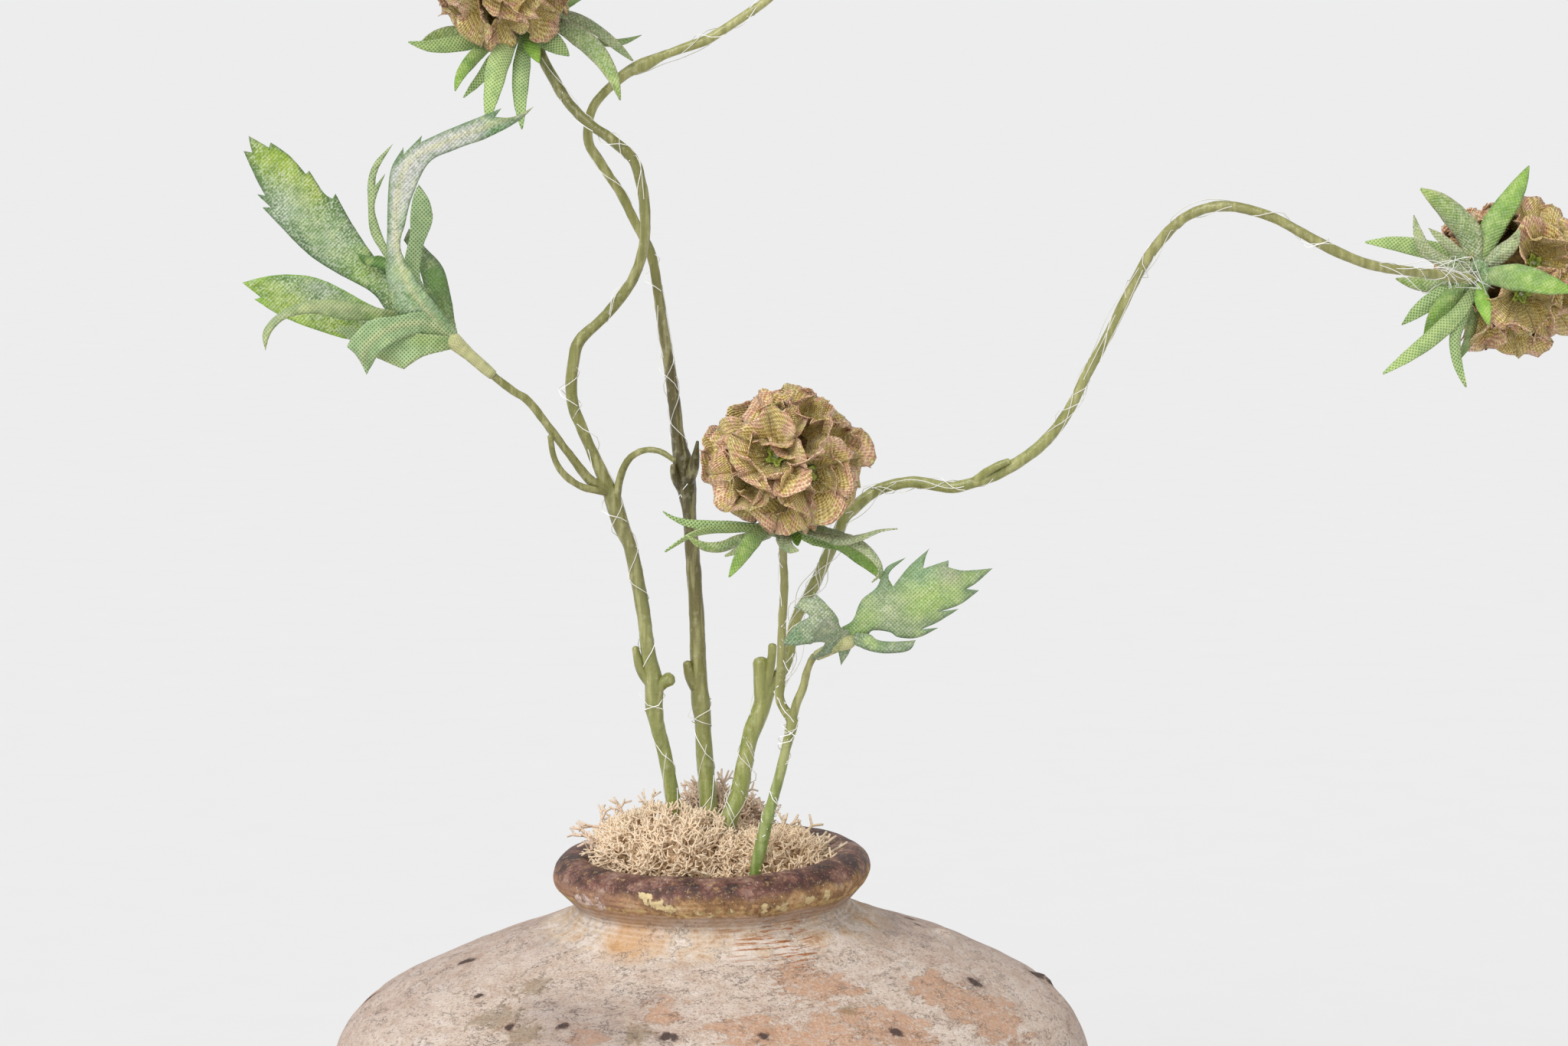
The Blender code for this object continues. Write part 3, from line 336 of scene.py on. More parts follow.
def grown(carrier, tree, values):
    """Runs the tree on the carrier and returns a plain mesh object in the carrier's place."""
    modifier = carrier.modifiers.new("grow", "NODES")
    modifier.node_group = tree
    for socket in tree.interface.items_tree:
        if socket.in_out == "INPUT" and socket.name in values:
            modifier[socket.identifier] = values[socket.name]
    graph = bpy.context.evaluated_depsgraph_get()
    mesh = bpy.data.meshes.new_from_object(carrier.evaluated_get(graph))
    name = carrier.name
    bpy.data.objects.remove(carrier, do_unlink=True)
    return placed(name, mesh)


def carrier_of(name, points, links, marks):
    """A mesh of loose points or chained edges that a tree grows on."""
    made = shape(name, points, [], marks)
    if links:
        made.data.edges.add(len(links))
        made.data.edges.foreach_set("vertices", [n for pair in links for n in pair])
        made.data.update()
    return made


def kinds_of(name, build, count, chance):
    """A collection of variants, built one after the other, for the planting tree to choose from."""
    made = bpy.data.collections.new(name)
    for n in range(count):
        kind = build(f"{name}_{n:02d}", chance)
        scene.collection.objects.unlink(kind)
        made.objects.link(kind)
    print(name, count, "kinds of about", len(kind.data.polygons), "faces")
    return made


def stored(name, kind="FLOAT"):
    """A value that each point of the carrier holds."""
    return add("GeometryNodeInputNamedAttribute", {"Name": name}, data_type=kind)


# %% The tree that grows a tube along each chain of points
tree, given = new_tree("tube_along_route", {
    "Sides": "Int", "Lump height": "Float", "Lump size": "Float", "Finish": "Material",
})
route_curve = add("GeometryNodeMeshToCurve", {0: given["Geometry"]})
section = add("GeometryNodeCurvePrimitiveCircle", {"Resolution": given["Sides"], "Radius": 1.0})
skin = add("GeometryNodeCurveToMesh", {
    "Curve": route_curve, "Profile Curve": section, "Scale": stored("girth"), "Fill Caps": True,
})
spot = vector_calc("DIVIDE", add("GeometryNodeInputPosition"), given["Lump size"])
lump = times(calc("SUBTRACT", grain(spot, 1.0), 0.5), given["Lump height"])
push = vector_calc("SCALE", add("GeometryNodeInputNormal"), lump)
skin = add("GeometryNodeSetPosition", {0: skin, "Offset": push})
# Edges that turn by more than a radian stay sharp: the rims of the cut ends.
edge_turn = add("GeometryNodeInputMeshEdgeAngle")
sharp = add("FunctionNodeCompare", {0: edge_turn, 1: 1.0}, operation="GREATER_THAN")
skin = add("GeometryNodeSetShadeSmooth", {0: skin, "Shade Smooth": True})
skin = add("GeometryNodeSetShadeSmooth", {0: skin, "Selection": sharp, "Shade Smooth": False}, domain="EDGE")
skin = add("GeometryNodeRealizeInstances", {0: skin})
skin = add("GeometryNodeSetMaterial", {0: skin, "Material": given["Finish"]})
add("NodeGroupOutput", {0: skin})
tube_tree = tree
print("tube tree:", len(tree.nodes), "nodes")

# %% The tree that plants one of several shapes on each point, and ruffles the result
tree, given = new_tree("plant_on_points", {
    "Kinds": "Collection", "Ruffle": "Float", "Ruffle size": "Float", "Seed": "Float", "Finish": "Material",
})
which = add("FunctionNodeFloatToInt", {0: stored("which")})
upright = add("FunctionNodeAlignRotationToVector", {"Vector": stored("outward", "FLOAT_VECTOR")}, axis="Z")
turn = add("FunctionNodeAxisAngleToRotation", {"Axis": (0.0, 0.0, 1.0), "Angle": stored("spin")})
turned_to = add("FunctionNodeRotateRotation", {0: upright, 1: turn}, rotation_space="LOCAL")
kinds = add("GeometryNodeCollectionInfo", {
    "Collection": given["Kinds"], "Separate Children": True, "Reset Children": True,
})
planted = add("GeometryNodeInstanceOnPoints", {
    "Points": given["Geometry"], "Instance": kinds, "Pick Instance": True,
    "Instance Index": which, "Rotation": turned_to, "Scale": stored("size"),
})
planted = add("GeometryNodeRealizeInstances", {0: planted})
spot = vector_calc("DIVIDE", add("GeometryNodeInputPosition"), given["Ruffle size"])
wind = add("TexNoise", {"Vector": spot, "W": given["Seed"], "Scale": 1.0, "Detail": 1.0}, out=1,
           noise_dimensions="4D")
wind = vector_calc("SUBTRACT", wind, (0.5, 0.5, 0.5))
wind = vector_calc("SCALE", wind, times(stored("limp"), given["Ruffle"]))
planted = add("GeometryNodeSetPosition", {0: planted, "Offset": wind})
planted = add("GeometryNodeSetMaterial", {0: planted, "Material": given["Finish"]})
add("NodeGroupOutput", {0: planted})
plant_tree = tree
print("planting tree:", len(tree.nodes), "nodes")

# %% [markdown]
# ## Clay under a worn wash
# The jar is terracotta, thrown on a wheel, brushed with a chalky slip and rubbed back. Grit of half a
# millimetre gives the wash its sparkle of cream grains, streaks follow the wheel round the jar, the bare
# orange clay shows through in patches, and iron in the clay has bled out as dark spots. All of it is
# dry, so the roughness stays near 0.9; only the lip, darkened and polished by hands, shines a little.

# %% Where the wash is worn, stained or pitted, and where shade is painted on the neck, as (x, y, z, radius) on the jar
BARE_CLAY = [
    (30, -61, 161.6, 10), (38.5, -58.5, 160.6, 7), (69.7, -47.2, 156.2, 10), (76, -50, 153, 9),
    (83.8, -49.7, 149.3, 12), (34.8, -81.7, 153.1, 10), (50.5, -74.9, 152.6, 9), (-14.5, -76.8, 156.9, 7),
    (10.1, -87.1, 153.1, 9), (22, -88, 151, 9), (60, -76, 150.5, 9), (46, -86, 148, 9), (-36, -84, 150.5, 5),
    (-102, -46, 118, 16), (20, -112, 128, 16), (98, 58, 124, 18), (-60, 88, 130, 16), (-30, -104, 84, 19),
    (70, -80, 72, 15), (30, 108, 96, 19), (-108, 20, 92, 14), (76, 40, 44, 13), (-40, -72, 28, 13),
]
# Grey-purple stains on the shoulder, and painted shade at both sides of the neck.
STAINS_AND_NECK_SHADE = [
    (-40.9, -73.6, 154.1, 15), (-46.3, -65.6, 155.5, 11), (-31.3, -79.4, 153.2, 15), (-24, -83, 152, 10),
    (-44, -16, 168.4, 9), (-37, -25, 169.4, 7), (52, -8, 168.2, 11), (90, 70, 120, 22),
]
OLIVE_MARKS = [
    (-61.3, -61.8, 152.3, 6), (-54.1, -73.7, 150.2, 5), (-52.1, -48.3, 158.8, 5), (-66, -58, 151, 5),
    (-46.6, -18.9, 166.7, 3), (40.9, -70, 156.9, 2.6), (-20, -84, 152.5, 4), (-88, 52, 148, 8),
]
IRON_SPOTS = [
    (-75.4, -7.1, 156.6, 1.9), (-73.8, -8.6, 156.9, 1.5), (-69.1, -42.9, 154.7, 1), (-58.5, -67.9, 151, 1.2),
    (-42.4, -75, 153, 1.3), (-11.8, -86.8, 152.8, 1.6), (-9.6, -87.3, 152.6, 1.3), (79.7, -30.8, 155.8, 2),
    (54.7, -74.7, 151.4, 1.8), (16.3, -86.8, 153, 1.3), (-106.1, 8.7, 141.3, 2.2), (61.5, 21.3, 163.6, 1.4),
    (63.4, 11.3, 163.9, 1.1), (100.6, 12, 147.6, 2.4), (103.2, 13, 145, 2.2), (10, 96, 149, 2),
    (-70, 60, 153, 1.6), (-20, -116, 110, 1.8), (66, -96, 104, 2),
]
LIP_CHIPS = [
    (-39.5, -26.4, 181.2, 3.4), (-36.8, -30.6, 180.6, 3.6), (-33.6, -34.4, 180, 3),
    (-19.4, -44.4, 184.6, 2.6), (-15, -46.2, 182.6, 3), (-11.8, -46.9, 181.9, 2.8), (-4, -48.4, 180.5, 2.6),
    (0.7, -48.6, 180, 3.2), (6.6, -48.4, 180.4, 2.6), (16.6, -45.6, 181, 2.8), (22, -43, 181.6, 2.8),
    (30, -38.6, 182.4, 3.2), (35, -33.6, 183.4, 2.4), (-10, 49, 183, 3.2), (30, 39, 181, 3),
    (-44, 20, 181, 3),
]
print("bare patches:", len(BARE_CLAY), "iron spots:", len(IRON_SPOTS))

# %% The clay's noises, all in millimetres on the jar
LEAN = 0.023  # how far the jar's upper part rises for each millimetre to the right
clay, tree, place = new_material("terracotta_thrown_and_washed")
mm = vector_calc("SCALE", place, 1000.0)
x, y, z = (add("SeparateXYZ", {0: mm}, out=n) for n in range(3))
flat_mm = vector_calc("MULTIPLY", mm, (1.0, 1.0, 0.0))
radius = vector_calc("LENGTH", flat_mm)
spoke = vector_calc("NORMALIZE", flat_mm)
tilt = times(x, LEAN)
level = calc("SUBTRACT", z, tilt)
along = named("along")


def wheel_noise(across_mm, around_mm, detail, rough):
    """Noise whose features are longer round the jar than across its wall, as brush and wheel leave them."""
    around = vector_calc("SCALE", spoke, 95.0 / around_mm)
    rise = times(along, 1 / across_mm)
    rise = add("CombineXYZ", {"Z": rise})
    at = vector_calc("ADD", around, rise)
    return grain(at, 1, detail, rough)


def stone_noise(size_mm, detail, rough=0.6):
    """Noise with the same size in every direction."""
    return grain(mm, size_mm, detail, rough)


streak = wheel_noise(4.2, 14.0, 7.0, 0.68)
smear = wheel_noise(6.5, 13.0, 6.0, 0.72)
broad = stone_noise(30.0, 4.0)
cloud = stone_noise(8.0, 6.0, 0.62)
grit = stone_noise(0.85, 3.0, 0.8)
coarse = stone_noise(2.6, 5.0, 0.7)


def marks_on(spots, rough, hard, seed_noise):
    """A mask of the given spots: nearness to a centre plus noise, cut at a level, so the edges are ragged."""
    near = None
    for *centre, reach in spots:
        away = vector_calc("DISTANCE", mm, centre)
        part = between(away, 0.0, 2 * reach, 1.0, 0.0)
        near = part if near is None else calc("MAXIMUM", near, part)
    shift = calc("SUBTRACT", seed_noise, 0.5)
    near = calc("MULTIPLY_ADD", shift, rough, near)
    return between(near, 0.5 - hard, 0.5 + hard)


bare = marks_on(BARE_CLAY, 2.6, 0.05, smear)
stains_and_shade = marks_on(STAINS_AND_NECK_SHADE, 1.6, 0.35, cloud)
olive = marks_on(OLIVE_MARKS, 2.4, 0.12, coarse)
iron = marks_on([(*spot, 1.15 * reach) for *spot, reach in IRON_SPOTS], 1.3, 0.12, coarse)
rust = marks_on([(*spot, 2.1 * reach) for *spot, reach in IRON_SPOTS], 1.6, 0.3, coarse)
chips = marks_on([(*spot, 0.62 * reach) for *spot, reach in LIP_CHIPS], 2.6, 0.06, coarse)

# %% The wash on the shoulder and body: pinkish cream with grains, flakes and worn places
wash = ramp(broad, (0.32, "#D2B8AA"), (0.45, "#DFCABC"), (0.56, "#E5D2C4"), (0.7, "#E8D8D0"))
dull = ramp(streak, (0.3, "#AE927E"), (0.42, "#D1B7A5"), (0.52, "#E4D1C2"), (0.66, "#F4EAE1"))
wash = over(wash, 0.5, dull)
wash = layered(wash, (cloud, 0.55, 0.7, 0.6, "#EADBD0"), (cloud, 0.46, 0.3, 0.5, "#B3927A"))
# Flakes: thin brown lines where one layer of wash ends over another, longer round the jar.
flake = calc("SUBTRACT", smear, 0.52)
flake = calc("ABSOLUTE", flake)
flake = times(between(flake, 0.011, 0.0), between(cloud, 0.44, 0.56))
wash = over(wash, times(flake, 0.65), "#7C5C48")
wash = layered(
    wash,
    (grit, 0.55, 0.66, 0.8, "#F2E4C8"), (grit, 0.45, 0.36, 0.7, "#8F6F5A"),
    (coarse, 0.37, 0.3, 0.6, "#8A6A52"),
)
orange = ramp(coarse, (0.34, "#AC7A58"), (0.5, "#C89572"), (0.66, "#D8AE90"))
orange = over(orange, between(grit, 0.54, 0.64, 0.0, 0.6), "#EBCFB2")
worn = calc("MAXIMUM", bare, between(smear, 0.655, 0.69))
worn = times(worn, between(coarse, 0.4, 0.52, 0.3, 0.8))
body = over(wash, worn, orange)
# Grey-purple stains, and painted shade at the sides of the neck.
body = over(body, times(stains_and_shade, 0.48), "#8C7872")
body = over(body, times(olive, 0.55), "#8C7450")
# A painted sheen: where the wall turns away from the view the silhouette is tinted pinker and greyer, as
# light grazing its dust shows it.
facing = add("LayerWeight", {"Blend": 0.35}, out="Facing")
body = over(body, between(facing, 0.45, 0.95, 0.0, 0.45), "#B89C94")

# %% The neck and the lip
neck_in = between(level, 165.0, 169.0, smooth=True)
cream = ramp(smear, (0.34, "#BE9068"), (0.42, "#E0C2A0"), (0.5, "#F0DECA"), (0.62, "#F8ECE2"))
body = over(body, times(neck_in, 0.8), cream)
# A painted warm glow of light on the front left of the neck.
glow = vector_calc("DISTANCE", mm, (-23.1, -38.0, 170.5))
body = over(body, between(glow, 15.0, 3.0, 0.0, 0.6, True), "#DFA868")
# Strokes of rust that a dry brush left through the white, on the right of the neck.
strokes = wheel_noise(1.1, 20.0, 5.0, 0.7)
side = vector_calc("DISTANCE", mm, (20.0, -42.0, 170.5))
body = over(body, times(between(strokes, 0.52, 0.58), between(side, 21.0, 8.0, smooth=True)), "#B5713C")
# Painted shade on the right of the neck.
shade = vector_calc("DISTANCE", mm, (47.0, -24.0, 171.5))
body = over(body, between(shade, 15.0, 4.0, 0.0, 0.22, True), "#94775E")
# Fine rings that the fingers left, as light and dark stripes: painted highlight and shade on their ridges.
# Then painted shade in the groove below the lip.
rings = calc("SINE", times(along, 2 * math.pi / 1.9))
rings = times(rings, between(level, 169.0, 172.0))
body = layered(body, (rings, 0.1, 0.9, 0.2, "#F6EADC"), (rings, -0.1, -0.9, 0.16, "#A98A70"))
groove = between(level, 173.5, 176.5, smooth=True)
body = over(body, times(groove, 0.6), "#8E6444")

waver = calc("SUBTRACT", cloud, 0.5)
lip_level = calc("MULTIPLY_ADD", waver, 7.0, level)
lip_in = between(lip_level, 178.0, 179.2)
gold = ramp(smear, (0.34, "#5E4030"), (0.46, "#96704C"), (0.56, "#BC9266"), (0.68, "#DCC098"))
gold = over(gold, between(grit, 0.58, 0.68, 0.0, 0.8), "#E8CF94")
left_pink = between(x, -8.0, -34.0)
gold = over(gold, times(left_pink, 0.55), "#B88C78")
body = over(body, lip_in, gold)
top_level = calc("MULTIPLY_ADD", waver, 10.0, level)
top_in = between(top_level, 183.4, 186.4, smooth=True)
inner = between(radius, 42.5, 40.5)
dark_in = calc("MAXIMUM", top_in, inner)
mouth = calc("MAXIMUM", between(level, 176.0, 177.5), between(radius, 39.5, 38.5))
dark_in = times(dark_in, mouth)
brown = ramp(cloud, (0.38, "#301812"), (0.49, "#5C382E"), (0.57, "#84594B"), (0.68, "#B09280"))
brown = layered(
    brown,
    (coarse, 0.56, 0.64, 0.6, "#B48E5C"), (coarse, 0.44, 0.36, 0.6, "#3A201C"),
    (grit, 0.4, 0.34, 0.6, "#6E2E22"), (grit, 0.6, 0.68, 0.6, "#DCC8BA"),
    (radius, 37.5, 35.0, 0.75, "#4A2A26"),
)
body = over(body, dark_in, brown)
# A broken gold line runs along the lip's lower edge, where the dark slip stopped.
line = calc("SUBTRACT", lip_level, 180.3)
line = calc("ABSOLUTE", line)
line = times(between(line, 1.3, 0.5), between(coarse, 0.44, 0.54))
body = over(body, times(line, 0.8), "#D8BC80")
body = over(body, chips, ramp(between(x, -20.0, -30.0), (0.0, "#E2CA98"), (1.0, "#E2C8BC")))
body = over(body, times(rust, 0.35), "#8A5A40")
body = over(body, times(iron, 0.9), "#463430")

# %% The clay's relief and finish
# Heights as shares of the relief's depth of 1.1 mm: grit, strokes and iron stand out, while flakes, bare
# places and chips lie a little lower. The dark slip inside the mouth is calmer and smoother.
bumps = times(grit, 0.55)
for part, amount in (
    (streak, 0.7), (coarse, 0.7), (flake, -0.25), (worn, -0.2), (chips, -0.3), (iron, 0.35), (rings, 0.12),
):
    bumps = calc("MULTIPLY_ADD", part, amount, bumps)
calm = calc("MULTIPLY_ADD", dark_in, -0.6, 1.0)
surface(body, between(dark_in, 0.0, 1.0, 0.9, 0.48), (1.0, 0.0011, times(bumps, calm)), IOR=1.5)
print("clay:", len(tree.nodes), "nodes")

# %% [markdown]
# ## The jar
# A jar is a profile turned round an axis. This one is thrown by hand, so its upper part leans a little to
# one side and the wall waves gently. The profile follows the CAD's, with a smooth curve through its
# points, and the neck carries the fine rings that fingers leave in wet clay.

# %% Turn the jar
RIM_HEIGHT = 184.0
RIM_RADIUS = 41.8
RIM_HALF_WIDTH = 6.9
RIM_HALF_HEIGHT = 6.2
JAR_OUTSIDE = [
    (66, 0), (69, 2.5), (84, 27), (103, 63), (114, 95), (117.2, 113), (116.8, 123.5), (114.5, 132),
    (110, 139.2), (103, 145.2), (84, 155), (60, 164.2), (50, 168), (44.5, 170.7), (41.6, 174.4),
]
JAR_INSIDE = [
    (35.2, 176), (38, 169), (60, 158), (92, 145), (108, 131), (111, 114), (97, 63), (66, 12), (58, 9),
]
JAR_SIDES = 288
RING_PITCH = 2.1
OUTSIDE_LENGTH = 310  # along the profile, to just past the top of the lip
LUMPS_ON_JAR = [  # (x, y, z, radius, height)
    (72, 12, 160.5, 4.5, 2), (103.4, 14, 146.5, 5, 2.1), (79.7, -30.8, 155.8, 2.2, 0.5),
    (-75.4, -7.1, 156.6, 2.2, 0.4),
]


def lean(x, z):
    """How far the jar's upper part rises to one side."""
    t = min(1.0, max(0.0, (z - 122.0) / 44.0))
    return LEAN * x * t * t * (3 - 2 * t)


def jar_profile():
    """(radius, height) points from the foot up the outside, over the lip and down the inside."""
    lip = []
    for step in range(25):
        turn = math.radians(-35 + 215 * step / 24)
        across_lip, up_lip = RIM_HALF_WIDTH * math.cos(turn), RIM_HALF_HEIGHT * math.sin(turn)
        lip.append((RIM_RADIUS + across_lip, RIM_HEIGHT + up_lip))
    outside = curve_through([(*p, 0.0) for p in JAR_OUTSIDE], 1.8)
    inside = curve_through([(*p, 0.0) for p in JAR_INSIDE], 6.0)
    return [p[:2] for p in [*outside, *lip, *inside]]


profile = jar_profile()
jar_points, jar_along = [(0.0, 0.0, 0.0)], [0.0]
length = 0.0
for n, (wide, high) in enumerate(profile):
    before, after = profile[max(n - 1, 0)], profile[min(n + 1, len(profile) - 1)]
    length += math.dist(profile[n], before)
    out_r, out_z = after[1] - before[1], before[0] - after[0]
    scale = math.hypot(out_r, out_z) or 1.0
    out_r, out_z = out_r / scale, out_z / scale
    outer = length < OUTSIDE_LENGTH
    for turn, cos, sin in circle(JAR_SIDES):
        here = Vector((wide * cos, wide * sin, high))
        push = 0.0
        if outer and high > 4:
            push += 0.55 * noise.noise(here / 24) + 0.22 * noise.noise(here / 6)
            ring = math.exp(-((high - 171.0) / 5.0) ** 2) if high < 178 else 0.0
            push += 0.26 * ring * math.sin(length * 2 * math.pi / RING_PITCH + 0.6 * math.sin(2 * turn))
            lip_here = math.exp(-((high - 183.0) / 5.5) ** 2) if high > 176 else 0.0
            push += 0.5 * lip_here * noise.noise(here / 9 + Vector((7, 0, 0)))
            for *spot, reach, height in LUMPS_ON_JAR:
                away = (here - Vector(spot)).length
                if away < reach:
                    push += height * (1 - (away / reach) ** 2) ** 1.5
        x_, y_ = (wide + push * out_r) * cos, (wide + push * out_r) * sin
        jar_points.append((x_, y_, high + push * out_z + lean(x_, high)))
        jar_along.append(length)
jar_points.append((0.0, 0.0, profile[-1][1]))
jar_along.append(length)
jar_faces = fan(0, 1, JAR_SIDES, True) + bands(len(profile), JAR_SIDES, 1)
jar_faces += fan(len(jar_points) - 1, len(jar_points) - 1 - JAR_SIDES, JAR_SIDES)
jar = shape("jar_body", jar_points, jar_faces, {"along": jar_along})
jar.data.materials.append(clay)
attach(jar, "root")
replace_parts(jar, "jar")
print("jar:", len(profile), "rings,", len(jar_faces), "faces")

# %% [markdown]
# ## Dry foam
# Florist's foam is a brittle open-celled sponge, olive when dry. It is seen only in the gaps of the moss,
# so the CAD's own solid stays and gets a dark cellular finish.

# %% Finish the foam
foam, tree, place = new_material("phenolic_foam_cut_dry")
cells = add("TexVoronoi", {"Vector": place, "Scale": 1 / 0.0008}, out="Distance")
patches = grain(place, 0.006, 3.0)
shade = ramp(patches, (0.35, "#3C4026"), (0.65, "#5A5E36"))
# The pores are darkened: painted shade in the hollows of the cells.
pore_shade = add("MapRange", {0: cells, 1: 0.1, 2: 0.5, 3: 0.0, 4: 1.0})
shade = add("Mix", {0: pore_shade, 6: linear("#23251A"), 7: shade}, out=2, data_type="RGBA")
surface(shade, 0.95, (1.0, 0.0005, cells))
foam_node = frame["nodes"]["foam_plug"]
foam_node.data.materials.clear()
foam_node.data.materials.append(foam)

# %% [markdown]
# ## Reindeer moss
# Reindeer moss is a lichen: hollow pale tubes that fork again and again like antlers, each about half a
# millimetre thick. A few small sprigs are built as chains of three-sided tubes, and the planting tree
# sets one of them on each of many hundred points over three heaps. Below them a dark, rough bed fills
# the gaps, as the shaded inside of a real clump does.

# %% Moss materials
moss, tree, place = new_material("reindeer_lichen_dried")
tone = named("tint", "Color")
tip = named("tip")
fleck = grain(place, 0.0016, 3.0)
deep = over(tone, 0.15, "#C29A78")
pale = over(tone, 0.6, "#FFEBCE")
colour = over(deep, between(tip, 0.05, 0.7), pale)
colour = over(colour, between(fleck, 0.54, 0.7, 0.0, 0.4), "#BE9468")
surface(colour, 0.8, (0.6, 0.0002, fleck), Sheen_Weight=0.35, Sheen_Roughness=0.5)

bed_finish, tree, place = new_material("reindeer_lichen_in_shade")
tangle = grain(place, 0.0018, 4.0, Distortion=1.5)
colour = ramp(tangle, (0.38, "#80603F"), (0.5, "#CBA67C"), (0.6, "#F4DDBC"))
surface(colour, 0.95, (1.0, 0.0015, tangle))

# %% Build a handful of forked sprigs
MOSS_HEAPS = [  # (centre, radii, tint)
    ((-13, -3, 187), (27, 27, 16), "#FCDDB6"), ((17, -5, 183), (19.5, 27, 13.5), "#F0CC9C"),
    ((1, 19, 188), (17, 14, 18), "#D6B29E"),
]
SPRIG_KINDS = 9
FORK_STEP = 1.85
TUBE_RADIUS = 0.38


def sprig(name, chance):
    """A forked antler of three-sided tubes, rooted at the origin and growing up."""
    points, faces, tips = [], [], []
    front = [(Vector((0, 0, -1.5)), Vector((0, 0, 1)), 0)]
    limbs = 0
    while front and limbs < 15:
        root, heading, order = front.pop(0)
        reach = FORK_STEP * chance.uniform(0.7, 1.2) * (1.5 if order == 0 else 1.0)
        end = root + heading * reach
        side = heading.orthogonal().normalized()
        other = heading.cross(side)
        base = len(points)
        ends = ((root, TUBE_RADIUS * (1.2 - 0.12 * order)), (end, TUBE_RADIUS * (1.05 - 0.14 * order)))
        for spot, wide in ends:
            for _, cos, sin in circle(3):
                points.append(spot + (side * cos + other * sin) * wide)
                tips.append((order + (spot is end)) / 4)
        faces += [(base + n, base + (n + 1) % 3, base + 3 + (n + 1) % 3, base + 3 + n) for n in range(3)]
        faces.append((base + 3, base + 4, base + 5))
        limbs += 1
        if order < 3:
            split = chance.uniform(0.5, 0.95)
            lay = chance.uniform(0, math.pi)
            tilt_side = side * math.cos(lay) + other * math.sin(lay)
            for sign in (1, -1):
                bent = (heading + tilt_side * split * sign * chance.uniform(0.7, 1.25)).normalized()
                front.append((end - heading * 0.1, bent, order + 1))
    return shape(name, points, faces, {"tip": tips, "limp": np.ones(len(points))})


sprigs = kinds_of("sprigs", sprig, SPRIG_KINDS, random.Random(5))

# %% Plant the sprigs over the heaps
STEMS_AT = [(-10.6, 4, 2.4), (-0.8, 8, 3), (5.5, -1.2, 2.8), (14.2, -26, 2.2)]
SPRIG_COUNT = 980
MOUTH_RADIUS = 34.2
WISPS = [  # (x, y, z, outward x, y, z, size, tint): long sprigs that hang over the lip or stand clear
    (-36, 0, 193.5, -0.9, -0.2, 0.45, 1.5, "#C9A493"), (-34, -6, 193, -0.9, -0.3, 0.35, 1.3, "#C9A493"),
    (-33, 3, 195, -0.6, 0, 0.8, 1.4, "#DDBCA2"), (-27, 4, 199, -0.4, 0.1, 0.95, 1.3, "#DDBCA2"),
    (30, -10, 189, 0.8, -0.2, 0.6, 1.5, "#DDBE92"), (32, -2, 188, 0.8, 0.2, 0.5, 1.6, "#DDBE92"),
    (28, 6, 190, 0.6, 0.2, 0.8, 1.6, "#DDBE92"), (33, -14, 186.5, 0.8, -0.4, 0.3, 1.4, "#D8B88A"),
    (3, 24, 203, 0.1, 0.1, 1, 1.3, "#C9A493"), (-4, 20, 203, -0.3, 0.1, 0.95, 1.3, "#C9A493"),
    (9, 22, 201, 0.4, 0.1, 0.9, 1.2, "#C9A493"), (-19, 6, 201, -0.2, 0.1, 1, 1.3, "#E8CDB4"),
    (22, 4, 194, 0.4, 0.1, 0.9, 1.4, "#DDBE92"), (16, 8, 197, 0.3, 0.1, 0.95, 1.3, "#D2AE96"),
]


def heap_spot(chance):
    """A point on the outside of the heaps, with its outward direction and tint."""
    while True:
        centre, radii, code = chance.choices(MOSS_HEAPS, (6, 4, 3))[0]
        turn, rise = chance.uniform(0, 2 * math.pi), chance.uniform(-0.25, 1.0)
        flat = math.sqrt(1 - rise * rise)
        spoke = Vector((flat * math.cos(turn), flat * math.sin(turn), rise))
        swell = 0.80 + 0.12 * noise.noise(spoke * 2.6 + Vector(centre) / 20)
        here = Vector(c + r * s * swell for c, r, s in zip(centre, radii, spoke))
        covered = any(
            other != centre and sum(((h - c) / (r * 0.72)) ** 2 for h, c, r in zip(here, other, wide)) < 1
            for other, wide, _ in MOSS_HEAPS
        )
        out = math.hypot(here.x, here.y)
        in_stem = any(math.hypot(here.x - sx, here.y - sy) < reach for sx, sy, reach in STEMS_AT)
        in_clay = out > MOUTH_RADIUS and here.z < 189.5
        if covered or in_stem or in_clay or here.z < 181.5 or out > 38:
            continue
        normal = Vector(s / r for s, r in zip(spoke, radii)).normalized()
        return here, normal, code


chance = random.Random(21)
spots, marks = [], {"outward": [], "spin": [], "size": [], "which": [], "tint": []}


def plant(here, outward, size, code):
    """Notes one sprig for the planting tree."""
    spots.append(here)
    marks["outward"].append(outward.normalized())
    marks["spin"].append(chance.uniform(0, 2 * math.pi))
    marks["size"].append(size)
    marks["which"].append(chance.randrange(SPRIG_KINDS))
    shade = chance.uniform(0.85, 1.08)
    marks["tint"].append([min(1.0, c * shade) for c in linear(code)[:3]] + [1.0])


for n in range(SPRIG_COUNT):
    here, normal, code = heap_spot(chance)
    jitter = Vector(chance.gauss(0, 0.38) for _ in range(3))
    plant(here, normal + jitter + Vector((0, 0, 0.2)), chance.uniform(0.7, 1.1), code)
for *row, size, code in WISPS:
    plant(Vector(row[:3]), Vector(row[3:6]), size, code)
moss_top = grown(carrier_of("moss_sprigs", spots, [], marks), plant_tree, {
    "Kinds": sprigs, "Ruffle": 0.0014, "Ruffle size": 0.004, "Seed": 3.0, "Finish": moss,
})
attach(moss_top, "root")
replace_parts(moss_top, "moss")
print("moss sprigs:", len(spots), "planted,", len(moss_top.data.polygons), "faces")

